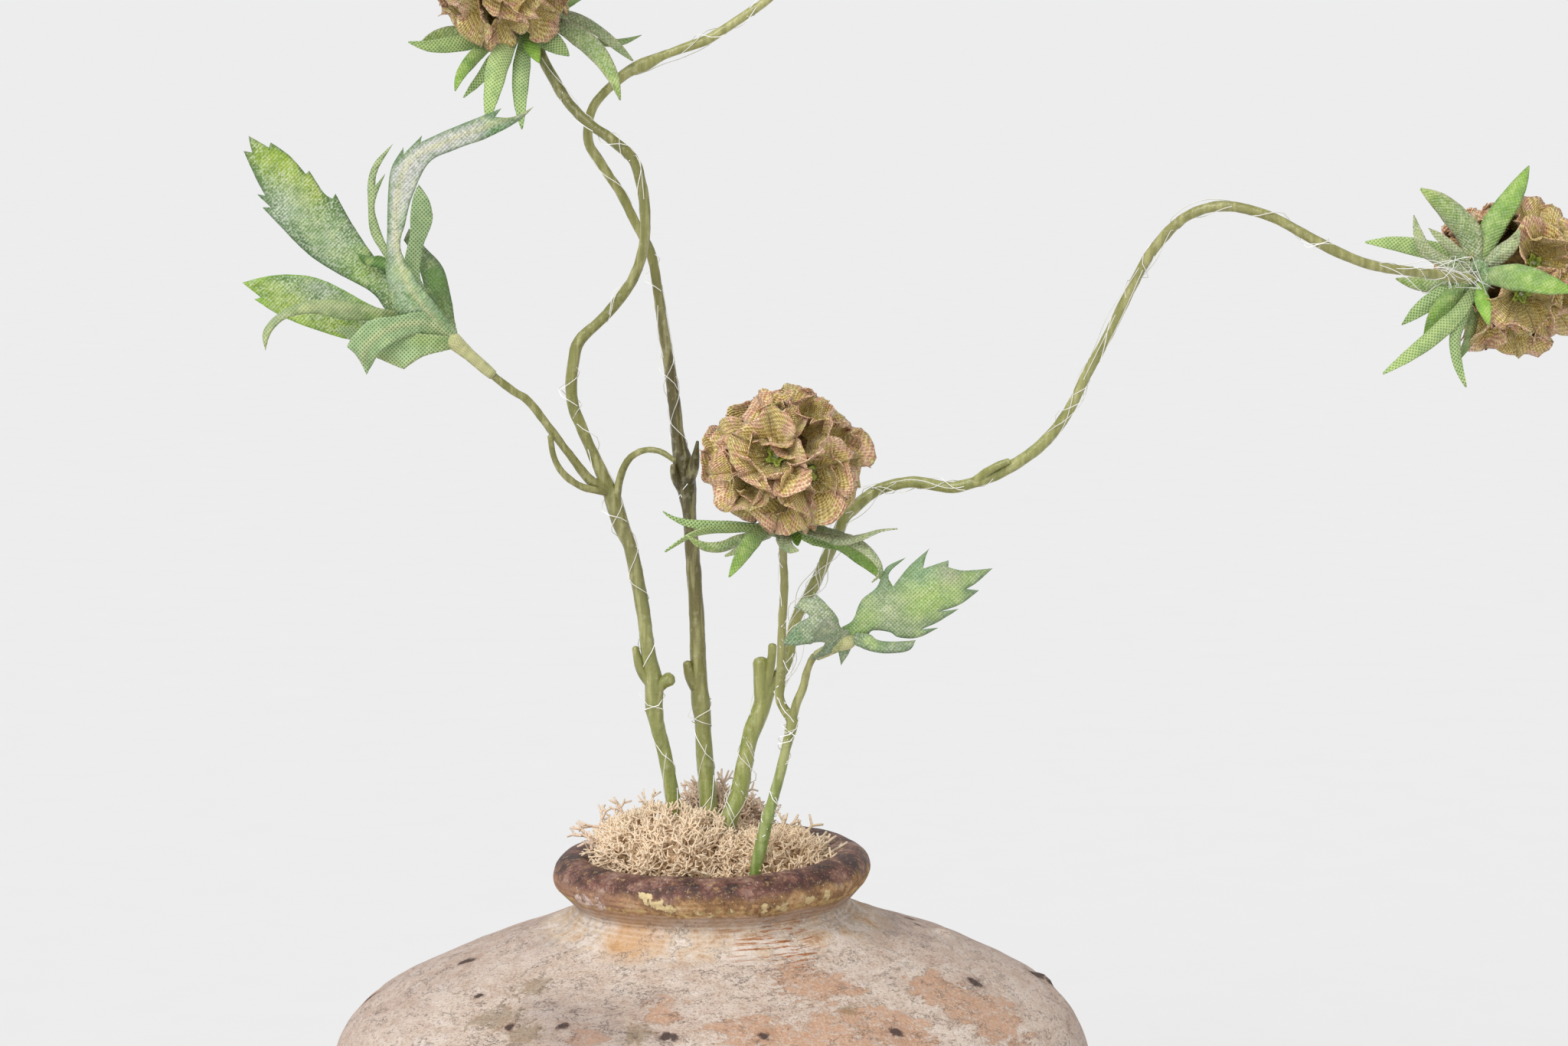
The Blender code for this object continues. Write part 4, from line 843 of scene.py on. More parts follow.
# %% The shaded bed under the sprigs
work = bmesh.new()
for centre, radii, _ in MOSS_HEAPS:
    made = bmesh.ops.create_icosphere(work, subdivisions=5, radius=1.0)
    for vert in made["verts"]:
        swell = 0.77 + 0.10 * noise.noise(vert.co * 2.6 + Vector(centre) / 20)
        swell += 0.03 * noise.noise(vert.co * 9)
        vert.co = Vector(c + r * s * swell for c, r, s in zip(centre, radii, vert.co))
        vert.co.z = max(vert.co.z, 181.2)
        out = math.hypot(vert.co.x, vert.co.y)
        if out > MOUTH_RADIUS:
            vert.co.x *= MOUTH_RADIUS / out
            vert.co.y *= MOUTH_RADIUS / out
for vert in work.verts:
    vert.co *= MM
mesh = bpy.data.meshes.new("moss_bed")
work.to_mesh(mesh)
work.free()
mesh.shade_smooth()
mesh.materials.append(bed_finish)
moss_bed = placed("moss_bed", mesh)
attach(moss_bed, "root")
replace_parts(moss_bed, "moss")

# %% [markdown]
# ## Moulded stems
# The stems are injection-moulded polyethylene over wire. They copy nature with knots, lopped stubs and
# ring seams, and they are glossy, olive green, and darker at some heights: most of all where the tall stem
# runs behind the middle head and its collar, by its twigs' joints. Each is a route of (x, y, z, radius)
# points, the same as in the CAD, grown into a tube by the first tree.

# %% The stem material
plastic, tree, place = new_material("polyethylene_stem_moulded")
tone = named("tint", "Color")
long_way = add("Mapping", {"Vector": place, "Scale": (520.0, 520.0, 60.0)})
streaks_and_highlights = grain(long_way, 1, 4.0)
knobs_and_highlights = grain(place, 0.0024, 3.0)
# Dark streaks run along the moulded plastic; the pale cream streaks and the pale flecks on the knobs are
# painted highlights of its gloss.
colour = layered(
    tone,
    (streaks_and_highlights, 0.46, 0.34, 0.3, "#585E2C"), (streaks_and_highlights, 0.5, 0.62, 0.32, "#D2CE96"),
    (knobs_and_highlights, 0.58, 0.72, 0.18, "#E8E4BC"),
)
height = calc("MULTIPLY_ADD", streaks_and_highlights, 0.6, knobs_and_highlights)
shine = between(knobs_and_highlights, 0.3, 0.7, 0.16, 0.34)
surface(colour, shine, (1.0, 0.0005, height), IOR=1.51)

# %% The stems' routes
STEM_FOOT = 142.0
STEM_LEFT = [
    (-8.5, 3, STEM_FOOT, 2.1), (-9, 4, 180, 2.1), (-11.5, 4, 202, 2.2), (-14.6, 3, 220, 2.1),
    (-16.6, 2, 228, 2.2), (-17.6, 2, 234, 2.7), (-17.6, 1, 242, 2.9), (-19.4, 0, 252, 2.2),
    (-20.8, 0, 264, 2.1), (-22.7, -1, 275, 2.2), (-24.6, -2, 284, 2.1), (-27, -3, 290, 2.4),
    (-29.2, -3.6, 297, 2.5), (-30.8, -4, 302, 2.2), (-34, -4, 309, 1.8), (-38.8, -3, 320, 1.7),
    (-41.6, -2, 327, 1.8), (-42.2, -2, 334, 1.7), (-41.4, -2, 341, 1.7), (-39.6, -2, 347, 1.8),
    (-32.3, -3, 354, 1.6), (-25.7, -4, 362, 1.6), (-21.9, -5, 369, 1.6), (-19.7, -6, 378, 1.6),
    (-19.7, -6, 388, 1.6), (-20.8, -6, 395, 1.6), (-23.2, -6, 402, 1.7), (-29.9, -5, 408, 1.6),
    (-35.7, -4, 412, 1.5), (-42.2, -1, 418, 1.6), (-46.2, 2, 424, 1.6), (-50.2, 4.6, 431, 1.6),
]
LEFT_LEAF_TWIG = [
    (-28.4, -3.4, 297, 1.3), (-31.4, -4.6, 302, 1.7), (-36.4, -6.2, 305, 1.5), (-41.7, -8, 312, 1.3),
    (-48.2, -10, 321, 1.2), (-54.4, -12.8, 329.6, 1.2), (-58.8, -14.6, 332.9, 1.2),
    (-62.8, -16.05, 336.1, 1.2), (-67, -17.6, 340, 1.2),
]
LEFT_TENDRIL = [
    (-30.6, -4.6, 301, 1.1), (-35, -7.4, 302.2, 1.1), (-40, -9.6, 304, 1), (-44.6, -10.6, 308, 1),
    (-47.2, -11.6, 313, 0.9), (-48, -12.6, 319, 0.9),
]
LEFT_ARCH_TWIG = [
    (-28.9, -4, 297, 1.2), (-27.6, -5.6, 305, 1.2), (-25.2, -8, 311, 1.1), (-21.4, -10, 314.2, 1),
    (-17.3, -12, 315, 0.9), (-13.8, -13, 314, 0.9), (-10.9, -13.6, 312, 0.8),
]
LEFT_CUT_RIGHT = [(-17.6, 1, 239, 2), (-14.8, 0, 242, 1.9), (-12.9, -0.4, 243.2, 2.2)]
LEFT_CUT_LEFT = [(-18.4, 1, 241, 1.6), (-21.6, 0.2, 246, 1.5), (-23.2, 0, 252.6, 1.1)]

STEM_TALL = [
    (-0.5, 14, STEM_FOOT, 2.8), (-0.5, 10, 176, 2.8), (-0.8, 8, 197, 2.8), (-2.4, 8, 219, 2.6),
    (-2.9, 8, 229, 2.6), (-3.4, 8, 234, 2.9), (-4, 8, 241, 2.5), (-4.7, 8, 262, 2.3), (-5.7, 8, 278, 2.3),
    (-6.6, 8, 290, 2.1), (-7, 8, 295, 2.3), (-7.8, 8, 302, 3), (-8.6, 8, 308, 3.2), (-10, 8, 315, 2.2),
    (-11.1, 8, 325, 1.9), (-12.9, 8, 339, 1.7), (-14.8, 8, 351, 1.6), (-16.2, 8, 361, 1.5),
    (-18.1, 8, 372, 1.5), (-22, 8, 380, 1.4), (-26.9, 8, 390, 1.4), (-30.5, 8, 395.5, 1.4),
    (-34.6, 8, 402, 1.4), (-36.9, 8, 406, 1.5), (-37, 8, 412, 1.4), (-35.4, 8, 417, 1.4),
    (-33, 8, 420.2, 1.4), (-29.4, 9, 423.6, 1.5), (-25.1, 10, 427.2, 1.7), (-20.4, 11, 429.4, 2),
    (-14.6, 12, 432, 1.4), (-7.6, 12, 434.6, 1.4), (-1.6, 12, 436.6, 1.5), (4, 12, 440, 1.4),
    (10.6, 12, 444.4, 1.4), (17.2, 12, 449, 1.4), (23.5, 12, 455.7, 1.5), (28.4, 13, 463.7, 1.4),
    (31.2, 14.4, 471.6, 1.4),
]
TALL_SPIKE = [(-7.6, 7, 302, 1.9), (-5.4, 4.6, 308, 1.8), (-4.2, 3.2, 315.6, 0.5)]
TALL_BUMP = [(-8.6, 7, 300, 1.6), (-11, 5.4, 304.6, 1.5), (-11.6, 5, 308, 0.9)]
TALL_BUD = [(-4.4, 8, 238, 1.8), (-6.6, 6.8, 242.6, 1.7), (-7.5, 6.4, 246.8, 1.4)]

STEM_RIGHT = [
    (3, -9, STEM_FOOT, 2.5), (3.4, -4.5, 176, 2.5), (4.4, -2, 196.4, 2.6), (8, 0, 206.5, 2.7),
    (10.6, 2, 219.7, 2.4), (12.2, 3, 226.2, 2.6), (14.8, 4, 232.5, 2.8), (16.9, 5, 239.1, 2.6),
    (20.2, 6.4, 243, 1.9), (23.3, 8, 248.4, 1.7), (25.7, 9, 259.9, 1.7), (31, 10, 269.9, 1.7),
    (35.7, 10, 280.3, 1.7), (40.1, 10, 290.5, 1.7), (42.9, 10, 293.8, 1.8), (46.4, 10, 297, 1.9),
    (51.4, 10, 300.3, 1.7), (58.3, 9, 302.3, 1.8), (63.6, 8, 302.6, 1.8), (68.4, 8, 301.7, 1.7),
    (73.7, 7, 301.2, 1.8), (80.7, 6, 303, 1.7), (87.6, 5, 305.8, 1.8), (96.5, 3, 311.6, 1.7),
    (101.8, 2, 316.5, 1.7), (106.5, 1, 322.4, 1.7), (109.9, 0, 328.4, 1.5), (112.9, 0, 335.1, 1.6),
    (119.1, -2, 347.1, 1.5), (125.3, -4, 360.3, 1.5), (130.3, -6, 370.7, 1.5), (135.2, -8, 378, 1.6),
    (140.8, -10, 383.9, 1.5), (147.5, -12, 387.4, 1.5), (153.6, -13, 388.3, 1.6), (160.2, -14, 387.4, 1.5),
    (167.8, -15, 385, 1.5), (175.4, -16, 381, 1.5), (183.2, -16, 376.7, 1.6), (190.9, -16, 373.1, 1.5),
    (199, -15, 370.4, 1.5), (209.7, -11, 368.6, 1.5), (218.6, -5.6, 367.2, 1.5),
]
RIGHT_LOPPED = [(15.6, 4, 234, 2.4), (15.4, 4, 240, 2.6), (15.1, 4, 247.6, 2.5)]
RIGHT_CUT_TWIG = [(16.8, 3.6, 241, 1.5), (18, 2.4, 247, 1.3), (18.6, 1.8, 253, 1.3)]
RIGHT_CUT_TIP = [(80, 6, 303, 1.4), (85, 3.4, 307.2, 1.2), (90.2, 2.4, 309.8, 1)]

STEM_SHORT = [
    (12, -23, STEM_FOOT, 1.9), (12.6, -25, 174, 1.9), (13.5, -26, 188.4, 1.9), (15.6, -26, 198.2, 1.9),
    (17.4, -27, 206.4, 1.8), (19, -27, 211.8, 1.6), (21.4, -28, 221.1, 1.5), (23, -28, 228.1, 1.5),
    (24.6, -29, 235.2, 1.8), (22.4, -29, 238.6, 1.5), (20.8, -29, 242.4, 1.4), (21.1, -29, 248, 1.4),
    (21.4, -29, 258, 1.3), (21.6, -28.8, 266, 1.3), (22.2, -28.2, 276, 1.2), (22, -27.6, 283, 1.2),
]
SHORT_LEAF_TWIG = [
    (23.6, -28.6, 232, 1.4), (25.6, -30, 240.1, 1.3), (27.7, -31, 245.6, 1.2), (29, -32, 251, 1.1),
    (31, -33, 255.4, 1.1), (34.2, -34.4, 257.2, 1.1),
]

HEADS = {  # centre, and the direction in which each faces
    "middle": ((22.3, -30, 312.9), (0.02, -0.12, 0.99)), "left": ((-60.7, -2.4, 459.3), (-0.3, -0.42, 0.86)),
    "top": ((33.1, 12, 500.2), (0.05, -0.15, 0.98)), "right": ((244, 20, 364.8), (0.62, 0.78, -0.03)),
}
COLLAR_BELOW = 20.0


def head_frame(head):
    """A matrix that carries a seed head's own space, +Z along its axis, to its place."""
    centre, axis = HEADS[head]
    up = Vector(axis).normalized()
    side = Vector((0, 0, 1)) if abs(up.x) > 0.5 else Vector((1, 0, 0))
    side = (side - up * side.dot(up)).normalized()
    turn = Matrix((side, up.cross(side), up)).transposed().to_4x4()
    return Matrix.Translation(Vector(centre)) @ turn


def to_head(route, head):
    """The route, carried on straight along the head's axis into its socket."""
    place = head_frame(head)
    steps = [-COLLAR_BELOW - 6, -COLLAR_BELOW, -COLLAR_BELOW + 6, -9]
    return [*route, *((*(place @ Vector((0, 0, step))), route[-1][3]) for step in steps)]


# %% Grow the stems
STEM_TINTS = {  # (height in mm, colour) marks up each stem
    "stem_left": [(180, "#7E9242"), (225, "#949858"), (290, "#838050"), (330, "#88884E"), (430, "#7A7846")],
    # The tall stem is darkest from 262 to 340 mm, where it runs behind the middle head and its collar.
    "stem_tall": [
        (180, "#8A9C4E"), (230, "#8C8C52"), (262, "#766E42"), (302, "#4A4228"), (340, "#625A38"),
        (380, "#8C8A4E"), (430, "#98985A"), (470, "#B6B276"),
    ],
    "stem_right": [(180, "#7E9242"), (215, "#929852"), (260, "#98985A"), (300, "#9A9C5E"), (380, "#94925A")],
    "stem_short": [(180, "#728E3E"), (210, "#8A9A52"), (240, "#94945A"), (280, "#96925C")],
}


def tint_at(height, marks):
    """The colour at a height, blended between its two nearest marks."""
    levels = [m[0] for m in marks]
    colours = np.array([linear(m[1]) for m in marks])
    return [float(np.interp(height, levels, colours[:, n])) for n in range(4)]


def grow_stem(name, routes, node):
    """One stem with its twigs and stubs, from routes of (x, y, z, radius)."""
    points, links, girths, tints = [], [], [], []
    for route in routes:
        start = len(points)
        path = [tuple(p) for p in curve_through(route, 1.6)]
        end, wide = Vector(path[-1][:3]), path[-1][3]
        onward = (end - Vector(path[-2][:3])).normalized() * wide
        path += [(*(end + onward * 0.45), wide * 0.8), (*(end + onward * 0.7), wide * 0.3)]
        for *spot, wide in path:
            knot = 1 + 0.05 * noise.noise(Vector(spot) / 3.1) + 0.07 * noise.noise(Vector(spot) / 9.0)
            points.append(spot)
            girths.append(wide * knot * MM)
            tints.append(tint_at(spot[2], STEM_TINTS[name]))
        links += [(n, n + 1) for n in range(start, len(points) - 1)]
    made = grown(carrier_of(name, points, links, {"girth": girths, "tint": tints}), tube_tree, {
        "Sides": 18, "Lump height": 0.0005, "Lump size": 0.0035, "Finish": plastic,
    })
    made.name = f"{name}_moulded"
    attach(made, "root")
    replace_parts(made, node)
    print(name, len(made.data.polygons), "faces")
    return made


STEMS = {
    "stem_left": [
        to_head(STEM_LEFT, "left"), LEFT_LEAF_TWIG, LEFT_TENDRIL, LEFT_ARCH_TWIG, LEFT_CUT_RIGHT,
        LEFT_CUT_LEFT,
    ],
    "stem_tall": [to_head(STEM_TALL, "top"), TALL_SPIKE, TALL_BUMP, TALL_BUD],
    "stem_right": [to_head(STEM_RIGHT, "right"), RIGHT_LOPPED, RIGHT_CUT_TWIG, RIGHT_CUT_TIP],
    "stem_short": [to_head(STEM_SHORT, "middle"), SHORT_LEAF_TWIG],
}
for name, routes in STEMS.items():
    grow_stem(name, routes, name)

# %% [markdown]
# ## Glue threads
# Hot glue holds such arrangements together and leaves white hairs wherever the gun was pulled away.
# Each is a thin tube that loops loosely round its stem, thickest in number near the joints.

# %% Draw the glue threads
glue, tree, place = new_material("hot_melt_glue_hair")
milk = grain(place, 0.004)
colour = ramp(milk, (0.35, "#F0EEE6"), (0.65, "#FCFBF8"))
surface(colour, 0.3, IOR=1.48)

THREAD_RADIUS = 0.14
THREADS_ON = {  # stem: [(from share of its length, to share, count, how far the loosest stand off in mm)]
    "stem_left": [(0.05, 0.3, 13, 2), (0.3, 0.6, 12, 3), (0.6, 1, 12, 2)],
    "stem_tall": [(0.05, 0.25, 12, 2), (0.4, 0.6, 11, 3), (0.6, 1, 10, 2)],
    "stem_right": [(0.05, 0.2, 16, 2), (0.2, 0.5, 26, 3), (0.5, 0.85, 16, 2), (0.88, 1, 22, 6)],
    "stem_short": [(0.1, 0.6, 16, 2), (0.5, 0.6, 8, 5), (0.6, 1, 14, 2)],
}


def thread(route, start, stop, loose, chance):
    """Points of one hair that wanders round part of a route."""
    path = curve_through(route, 2.0)
    first = int(start * (len(path) - 1))
    span = max(4, int((stop - start) * (len(path) - 1)))
    turns = chance.uniform(-1.6, 1.6)
    phase = chance.uniform(0, 2 * math.pi)
    swing = 0.1 + loose * chance.random() ** 2
    made = []
    for n in range(span + 1):
        k = min(first + n, len(path) - 2)
        here, ahead = Vector(path[k][:3]), Vector(path[k + 1][:3])
        forward = (ahead - here).normalized()
        side = forward.orthogonal().normalized()
        other = forward.cross(side)
        turn = phase + 2 * math.pi * turns * n / span
        bulge = path[k][3] + 0.1 + swing * math.sin(math.pi * n / span) ** 2
        made.append(here + (side * math.cos(turn) + other * math.sin(turn)) * bulge)
    return made


for name, rows in THREADS_ON.items():
    chance = random.Random(len(name) + len(rows))
    points, links = [], []
    for low, high, count, loose in rows:
        for n in range(count):
            start = chance.uniform(low, high - 0.02)
            hair = thread(STEMS[name][0], start, min(start + chance.uniform(0.03, 0.09), high), loose, chance)
            links += [(len(points) + k, len(points) + k + 1) for k in range(len(hair) - 1)]
            points += hair
    made = grown(carrier_of(f"{name}_threads", points, links, {
        "girth": [THREAD_RADIUS * MM] * len(points),
    }), tube_tree, {"Sides": 3, "Lump height": 0.0, "Lump size": 0.01, "Finish": glue})
    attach(made, "root")
    print(name, "threads:", len(made.data.polygons), "faces")

# %% [markdown]
# ## Ruffled seed heads
# Each head is a ball of some twenty cups. A cup is a disc of golden satin ribbon, gathered at its centre
# like a funnel, with an edge that frays and flushes rose. In its throat sits a small green star. The cups
# that face the camera are placed one by one; the rest follow the golden angle round the ball.

# %% The ribbon material
ribbon, tree, place = new_material("polyester_satin_ribbon_dyed")
cloth = add("UVMap", uv_map="cloth")
rim = named("rim")
u, v = (add("SeparateXYZ", {0: cloth}, out=n) for n in range(2))
# Satin has a float every 0.3 mm; drawn every 1 mm, it shows as the dots that the real ribbon has.
FLOAT_TURN = 2 * math.pi / 0.1
weave = None
for slant, pace in ((0.0, 1.0), (0.9, 0.55)):
    line = calc("MULTIPLY_ADD", v, slant, u)
    if slant:
        line = calc("MULTIPLY_ADD", u, -0.5, line)
    wave = calc("SINE", times(line, FLOAT_TURN * (1 + pace * slant)))
    weave = wave if weave is None else times(weave, wave)
dye = grain(place, 0.005, 4.0, 0.6)
glint = grain(place, 0.0009, 2.0, 0.7)
gold = ramp(dye, (0.3, "#AE8C32"), (0.45, "#DCBA54"), (0.58, "#F2D872"), (0.72, "#FCEA9C"))
rose = ramp(dye, (0.3, "#B4604E"), (0.5, "#DA8672"), (0.7, "#F4B4A4"))
flush = calc("SUBTRACT", dye, 0.5)
flush = calc("MULTIPLY_ADD", flush, 1.6, rim)
colour = over(gold, between(flush, 0.84, 0.97, smooth=True), rose)
# Painted shade darkens the cups' throats towards olive, partly their own colour; painted highlights lighten
# the outer half of each cup, the satin floats and the glints, with painted shade between floats and glints.
colour = layered(
    colour,
    (rim, 0.72, 0.2, 0.85, "#5E5E1E"), (rim, 0.5, 0.8, 0.2, "#FFF2C0"), (weave, 0.0, 0.7, 0.62, "#FFF0A8"),
    (weave, 0.0, -0.7, 0.42, "#7C521E"), (glint, 0.56, 0.64, 0.8, "#FFF4C0"),
    (glint, 0.42, 0.34, 0.45, "#6A4A28"),
)
relief = (0.8, 0.0003, calc("ADD", weave, glint))
surface(colour, 0.34, relief, Metallic=0.15, Sheen_Weight=0.3, Sheen_Roughness=0.4)

# %% Cut and gather the kinds of cup
CUP_KINDS = 12
CUP_RINGS = 13
CUP_SPOKES = 88
CUP_FLAT_RADIUS = 12.0
LOBES = ((2, 0.7), (3, 0.8), (5, 0.8), (9, 0.35))  # waves of the rim's radius: how many, how high in mm
FOLDS = ((2, 0.8), (3, 0.8), (6, 0.6), (11, 0.75), (17, 0.5))  # the same for the rim's height
ANY_TURN = 6.28
RIBBON_THICK = 0.26
CUP_PROFILE = [  # (radius, distance from the head's centre)
    (0.5, 7.5, 0), (0.9, 10.4, 0), (1.6, 12.6, 0), (3.2, 14.4, 0), (5.3, 16.4, 0), (7.4, 18.6, 0),
    (9.3, 20.5, 0), (10.9, 21.8, 0), (12.3, 22.4, 0),
]


def cup(name, chance):
    """One gathered disc of ribbon with lobes and folds, opening along +Z from the head's centre."""
    path = curve_through(CUP_PROFILE, 0.5)
    path = [path[round(n * (len(path) - 1) / (CUP_RINGS - 1))] for n in range(CUP_RINGS)]
    lobes = [(k, chance.uniform(0, ANY_TURN), a) for k, a in LOBES]
    folds = [(k, chance.uniform(0, ANY_TURN), a) for k, a in FOLDS]
    pleats = chance.uniform(0, ANY_TURN)
    rolled, roll_width = chance.uniform(0, ANY_TURN), chance.uniform(0.4, 0.8)
    points, rims, flat = [], [], []
    for n, (wide, high, _) in enumerate(path):
        share = n / (CUP_RINGS - 1)
        loose = share ** 2.2
        for turn, cos, sin in circle(CUP_SPOKES):
            away = (turn - rolled + math.pi) % (2 * math.pi) - math.pi
            curl = math.exp(-(away / roll_width) ** 2) * share ** 3
            lobe, fold = (sum(a * math.sin(m * turn + p) for m, p, a in waves) for waves in (lobes, folds))
            reach = wide + loose * lobe - 3.4 * curl
            height = high + loose * fold + 2.2 * curl * (1 - curl)
            height += 0.32 * math.sin(math.pi * share) * math.sin(20 * turn + pleats)
            around = turn + 0.2 * loose * math.sin(6 * turn + pleats)
            if n == CUP_RINGS - 1:
                reach += chance.uniform(-0.3, 0.3)
                height += chance.uniform(-0.25, 0.25)
            points.append((reach * math.cos(around), reach * math.sin(around), height))
            rims.append(share)
            flat.append((CUP_FLAT_RADIUS * share * cos, CUP_FLAT_RADIUS * share * sin))
    points, faces = doubled(points, bands(CUP_RINGS, CUP_SPOKES), RIBBON_THICK)
    rims = np.array(rims * 2)
    return shape(name, points, faces, {"rim": rims, "limp": rims ** 1.5}, flat * 2)


chance = random.Random(11)
cups = kinds_of("cups", cup, CUP_KINDS, chance)

# %% The stars in the cups' throats
star_finish, tree, place = new_material("polyethylene_star_moulded")
tone = named("tint", "Color")
speck = grain(place, 0.0009, 3.0)
deep = add("Mix", {0: 1.0, 6: tone, 7: linear("#8FA868")}, out=2, data_type="RGBA", blend_type="MULTIPLY")
colour = over(deep, between(speck, 0.4, 0.6), tone)
surface(colour, 0.35, (0.6, 0.0003, speck))


STAR_KINDS = 2
STAR_THICK = 0.3


def star(name, chance):
    """A five-lobed green star with a pale knot in its middle, at the bottom of a cup."""
    points, tints = [], []
    green, deep, knot = linear("#C0D05A"), linear("#A2B444"), linear("#D6DCC6")
    rings = [(0.5, 14.9, knot), (0.85, 14.2, knot), (0.95, 13.9, green), (1.6, 14.3, deep),
             (2.3, 14.8, green), (2.9, 14.9, green)]
    sides = 30
    for wide, high, code in rings:
        for turn, cos, sin in circle(sides):
            petal = math.cos(5 * turn) * (wide > 1.2)
            reach = wide * (1 + 0.26 * petal)
            points.append((reach * cos, reach * sin, high + 0.2 * petal + chance.uniform(-0.06, 0.06)))
            tints.append(code)
    points.append((0, 0, 15.0))
    tints.append(knot)
    faces = bands(len(rings), sides, flip=True) + fan(len(points) - 1, 0, sides)
    points, faces = doubled(points, faces, STAR_THICK)
    return shape(name, points, faces, {"tint": tints * 2, "limp": np.zeros(len(points))})


stars = kinds_of("stars", star, STAR_KINDS, chance)

# %% Place the cups on each head
FRONT_CUPS = {  # (across, up) of each facing cup on the unit ball as seen by the camera, and its size
    "middle": [
        (-0.17, 0.15, 1.06), (-0.64, -0.31, 0.95), (0.02, -0.58, 0.95), (0.43, -0.22, 1.02), (0.44, 0.85, 1),
        (-0.12, 0.66, 0.98), (0.25, 0.5, 0.85), (-0.6, 0.62, 0.92), (-0.82, 0.2, 0.9), (-0.93, -0.22, 0.88),
        (-0.58, -0.76, 0.9), (0.86, 0.28, 1), (0.93, -0.2, 0.9), (0.68, -0.66, 0.9), (0.1, -0.94, 0.88),
    ],
    "left": [
        (-0.16, -0.82, 1), (-0.62, -0.7, 0.95), (0.24, -0.93, 0.95), (0.62, -0.62, 0.95), (0.1, -0.35, 1),
    ],
    "top": [],
    "right": [
        (-0.4, 0.88, 0.95), (0.38, 0.74, 1), (0.42, 0.24, 0.98), (0.86, 0.36, 0.95), (0.12, -0.44, 1.05),
        (-0.08, -0.93, 1.05), (0.72, -0.36, 1), (0.58, -0.78, 0.95), (-0.62, -0.7, 1),
    ],
}
CUP_TRIES = 110
CUP_APART = math.radians(35)
POLAR_END = math.radians(140)
HEAD_SQUASH = 0.86


def cup_directions(head):
    """Directions of a head's cups with their sizes: the facing ones, then the rest by the golden angle."""
    axis = Vector(HEADS[head][1]).normalized()
    made = []
    for right, up, size in FRONT_CUPS[head]:
        depth = math.sqrt(max(0.0, 1 - right * right - up * up))
        made.append(((across * right + upwards * up + toward * depth).normalized(), size))
    turn_to = head_frame(head).to_3x3()
    for n in range(CUP_TRIES):
        height = 1 - (n + 0.5) / CUP_TRIES * (1 - math.cos(POLAR_END))
        turn = n * math.pi * (3 - math.sqrt(5))
        flat = math.sqrt(1 - height * height)
        way = turn_to @ Vector((flat * math.cos(turn), flat * math.sin(turn), height))
        if all(way.angle(other) > CUP_APART for other, _ in made):
            made.append((way, 0.95))
    return made


def dress_head(head, seed):
    """Cups and stars of one seed head."""
    chance = random.Random(seed)
    axis = Vector(HEADS[head][1]).normalized()
    centre = Vector(HEADS[head][0])
    ways = cup_directions(head)
    marks = {"outward": [], "spin": [], "size": [], "which": []}
    spots = []
    for way, size in ways:
        squash = 1 - (1 - HEAD_SQUASH) * abs(way.dot(axis))
        spots.append(centre)
        marks["outward"].append(way)
        marks["spin"].append(chance.uniform(0, 2 * math.pi))
        marks["size"].append(size * squash)
        marks["which"].append(chance.randrange(CUP_KINDS))
    pieces = []
    pieces.append(grown(carrier_of(f"head_{head}_cups", spots, [], marks), plant_tree, {
        "Kinds": cups, "Ruffle": 0.0034, "Ruffle size": 0.0085, "Seed": float(seed), "Finish": ribbon,
    }))
    marks["which"] = [chance.randrange(STAR_KINDS) for _ in ways]
    pieces.append(grown(carrier_of(f"head_{head}_stars", spots, [], marks), plant_tree, {
        "Kinds": stars, "Ruffle": 0.0, "Ruffle size": 0.01, "Seed": 0.0, "Finish": star_finish,
    }))
    for piece in pieces:
        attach(piece, "root")
    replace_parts(pieces[0], f"head_{head}")
    print("head", head, ":", len(ways), "cups,", len(pieces[0].data.polygons), "faces")


# The core's dark brown stands in for the shade in the gaps between the cups: painted shade.
core_shade_finish, tree, place = new_material("polyester_felt_core")
fuzz = grain(place, 0.0012, 4.0)
colour = ramp(fuzz, (0.35, "#4A3818"), (0.65, "#7E6634"))
surface(colour, 0.9, (0.8, 0.0006, fuzz))


def core(head):
    """The ball that the cups are stuck into, with its short neck down to the collar."""
    profile = [(0.0, 12.6), (4.5, 11.9), (8.6, 9.4), (11.4, 5.6), (12.6, 1.0), (12.0, -4.0), (9.4, -8.6),
               (6.4, -12.0), (5.2, -14.6), (5.0, -18.6), (0.0, -18.8)]
    sides = 40
    smooth = curve_through([(r, h, 0) for r, h in profile], 1.2)
    place = head_frame(head)
    points = []
    for wide, high, _ in smooth[1:-1]:
        for _, cos, sin in circle(sides):
            spot = Vector((wide * cos, wide * sin, high))
            points.append(place @ (spot * (1 + 0.05 * noise.noise(spot / 2.5))))
    count = len(points)
    points += [place @ Vector((0, 0, profile[n][1])) for n in (0, -1)]
    faces = fan(count, 0, sides) + bands(len(smooth) - 2, sides, flip=True)
    made = shape(f"head_{head}_core", points, faces + fan(count + 1, count - sides, sides, True))
    made.data.materials.append(core_shade_finish)
    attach(made, "root")


for seed, head in enumerate(HEADS):
    dress_head(head, seed + 2)
    core(head)

# %% [markdown]
# ## Printed cloth leaves
# The leaves are stamped from polyester cloth, printed green and dusted with pale flock. The weave shows
# through, strongest on the backs. Each piece carries its own colours in a named value, and the material
# adds the flock, the speckle and the threads.

# %% The leaf material
leaf_cloth, tree, place = new_material("polyester_leaf_printed_and_flocked")
cloth = add("UVMap", uv_map="cloth")
tone = named("tint", "Color")
frost = named("frost")
under = named("under")
u, v = (add("SeparateXYZ", {0: cloth}, out=n) for n in range(2))
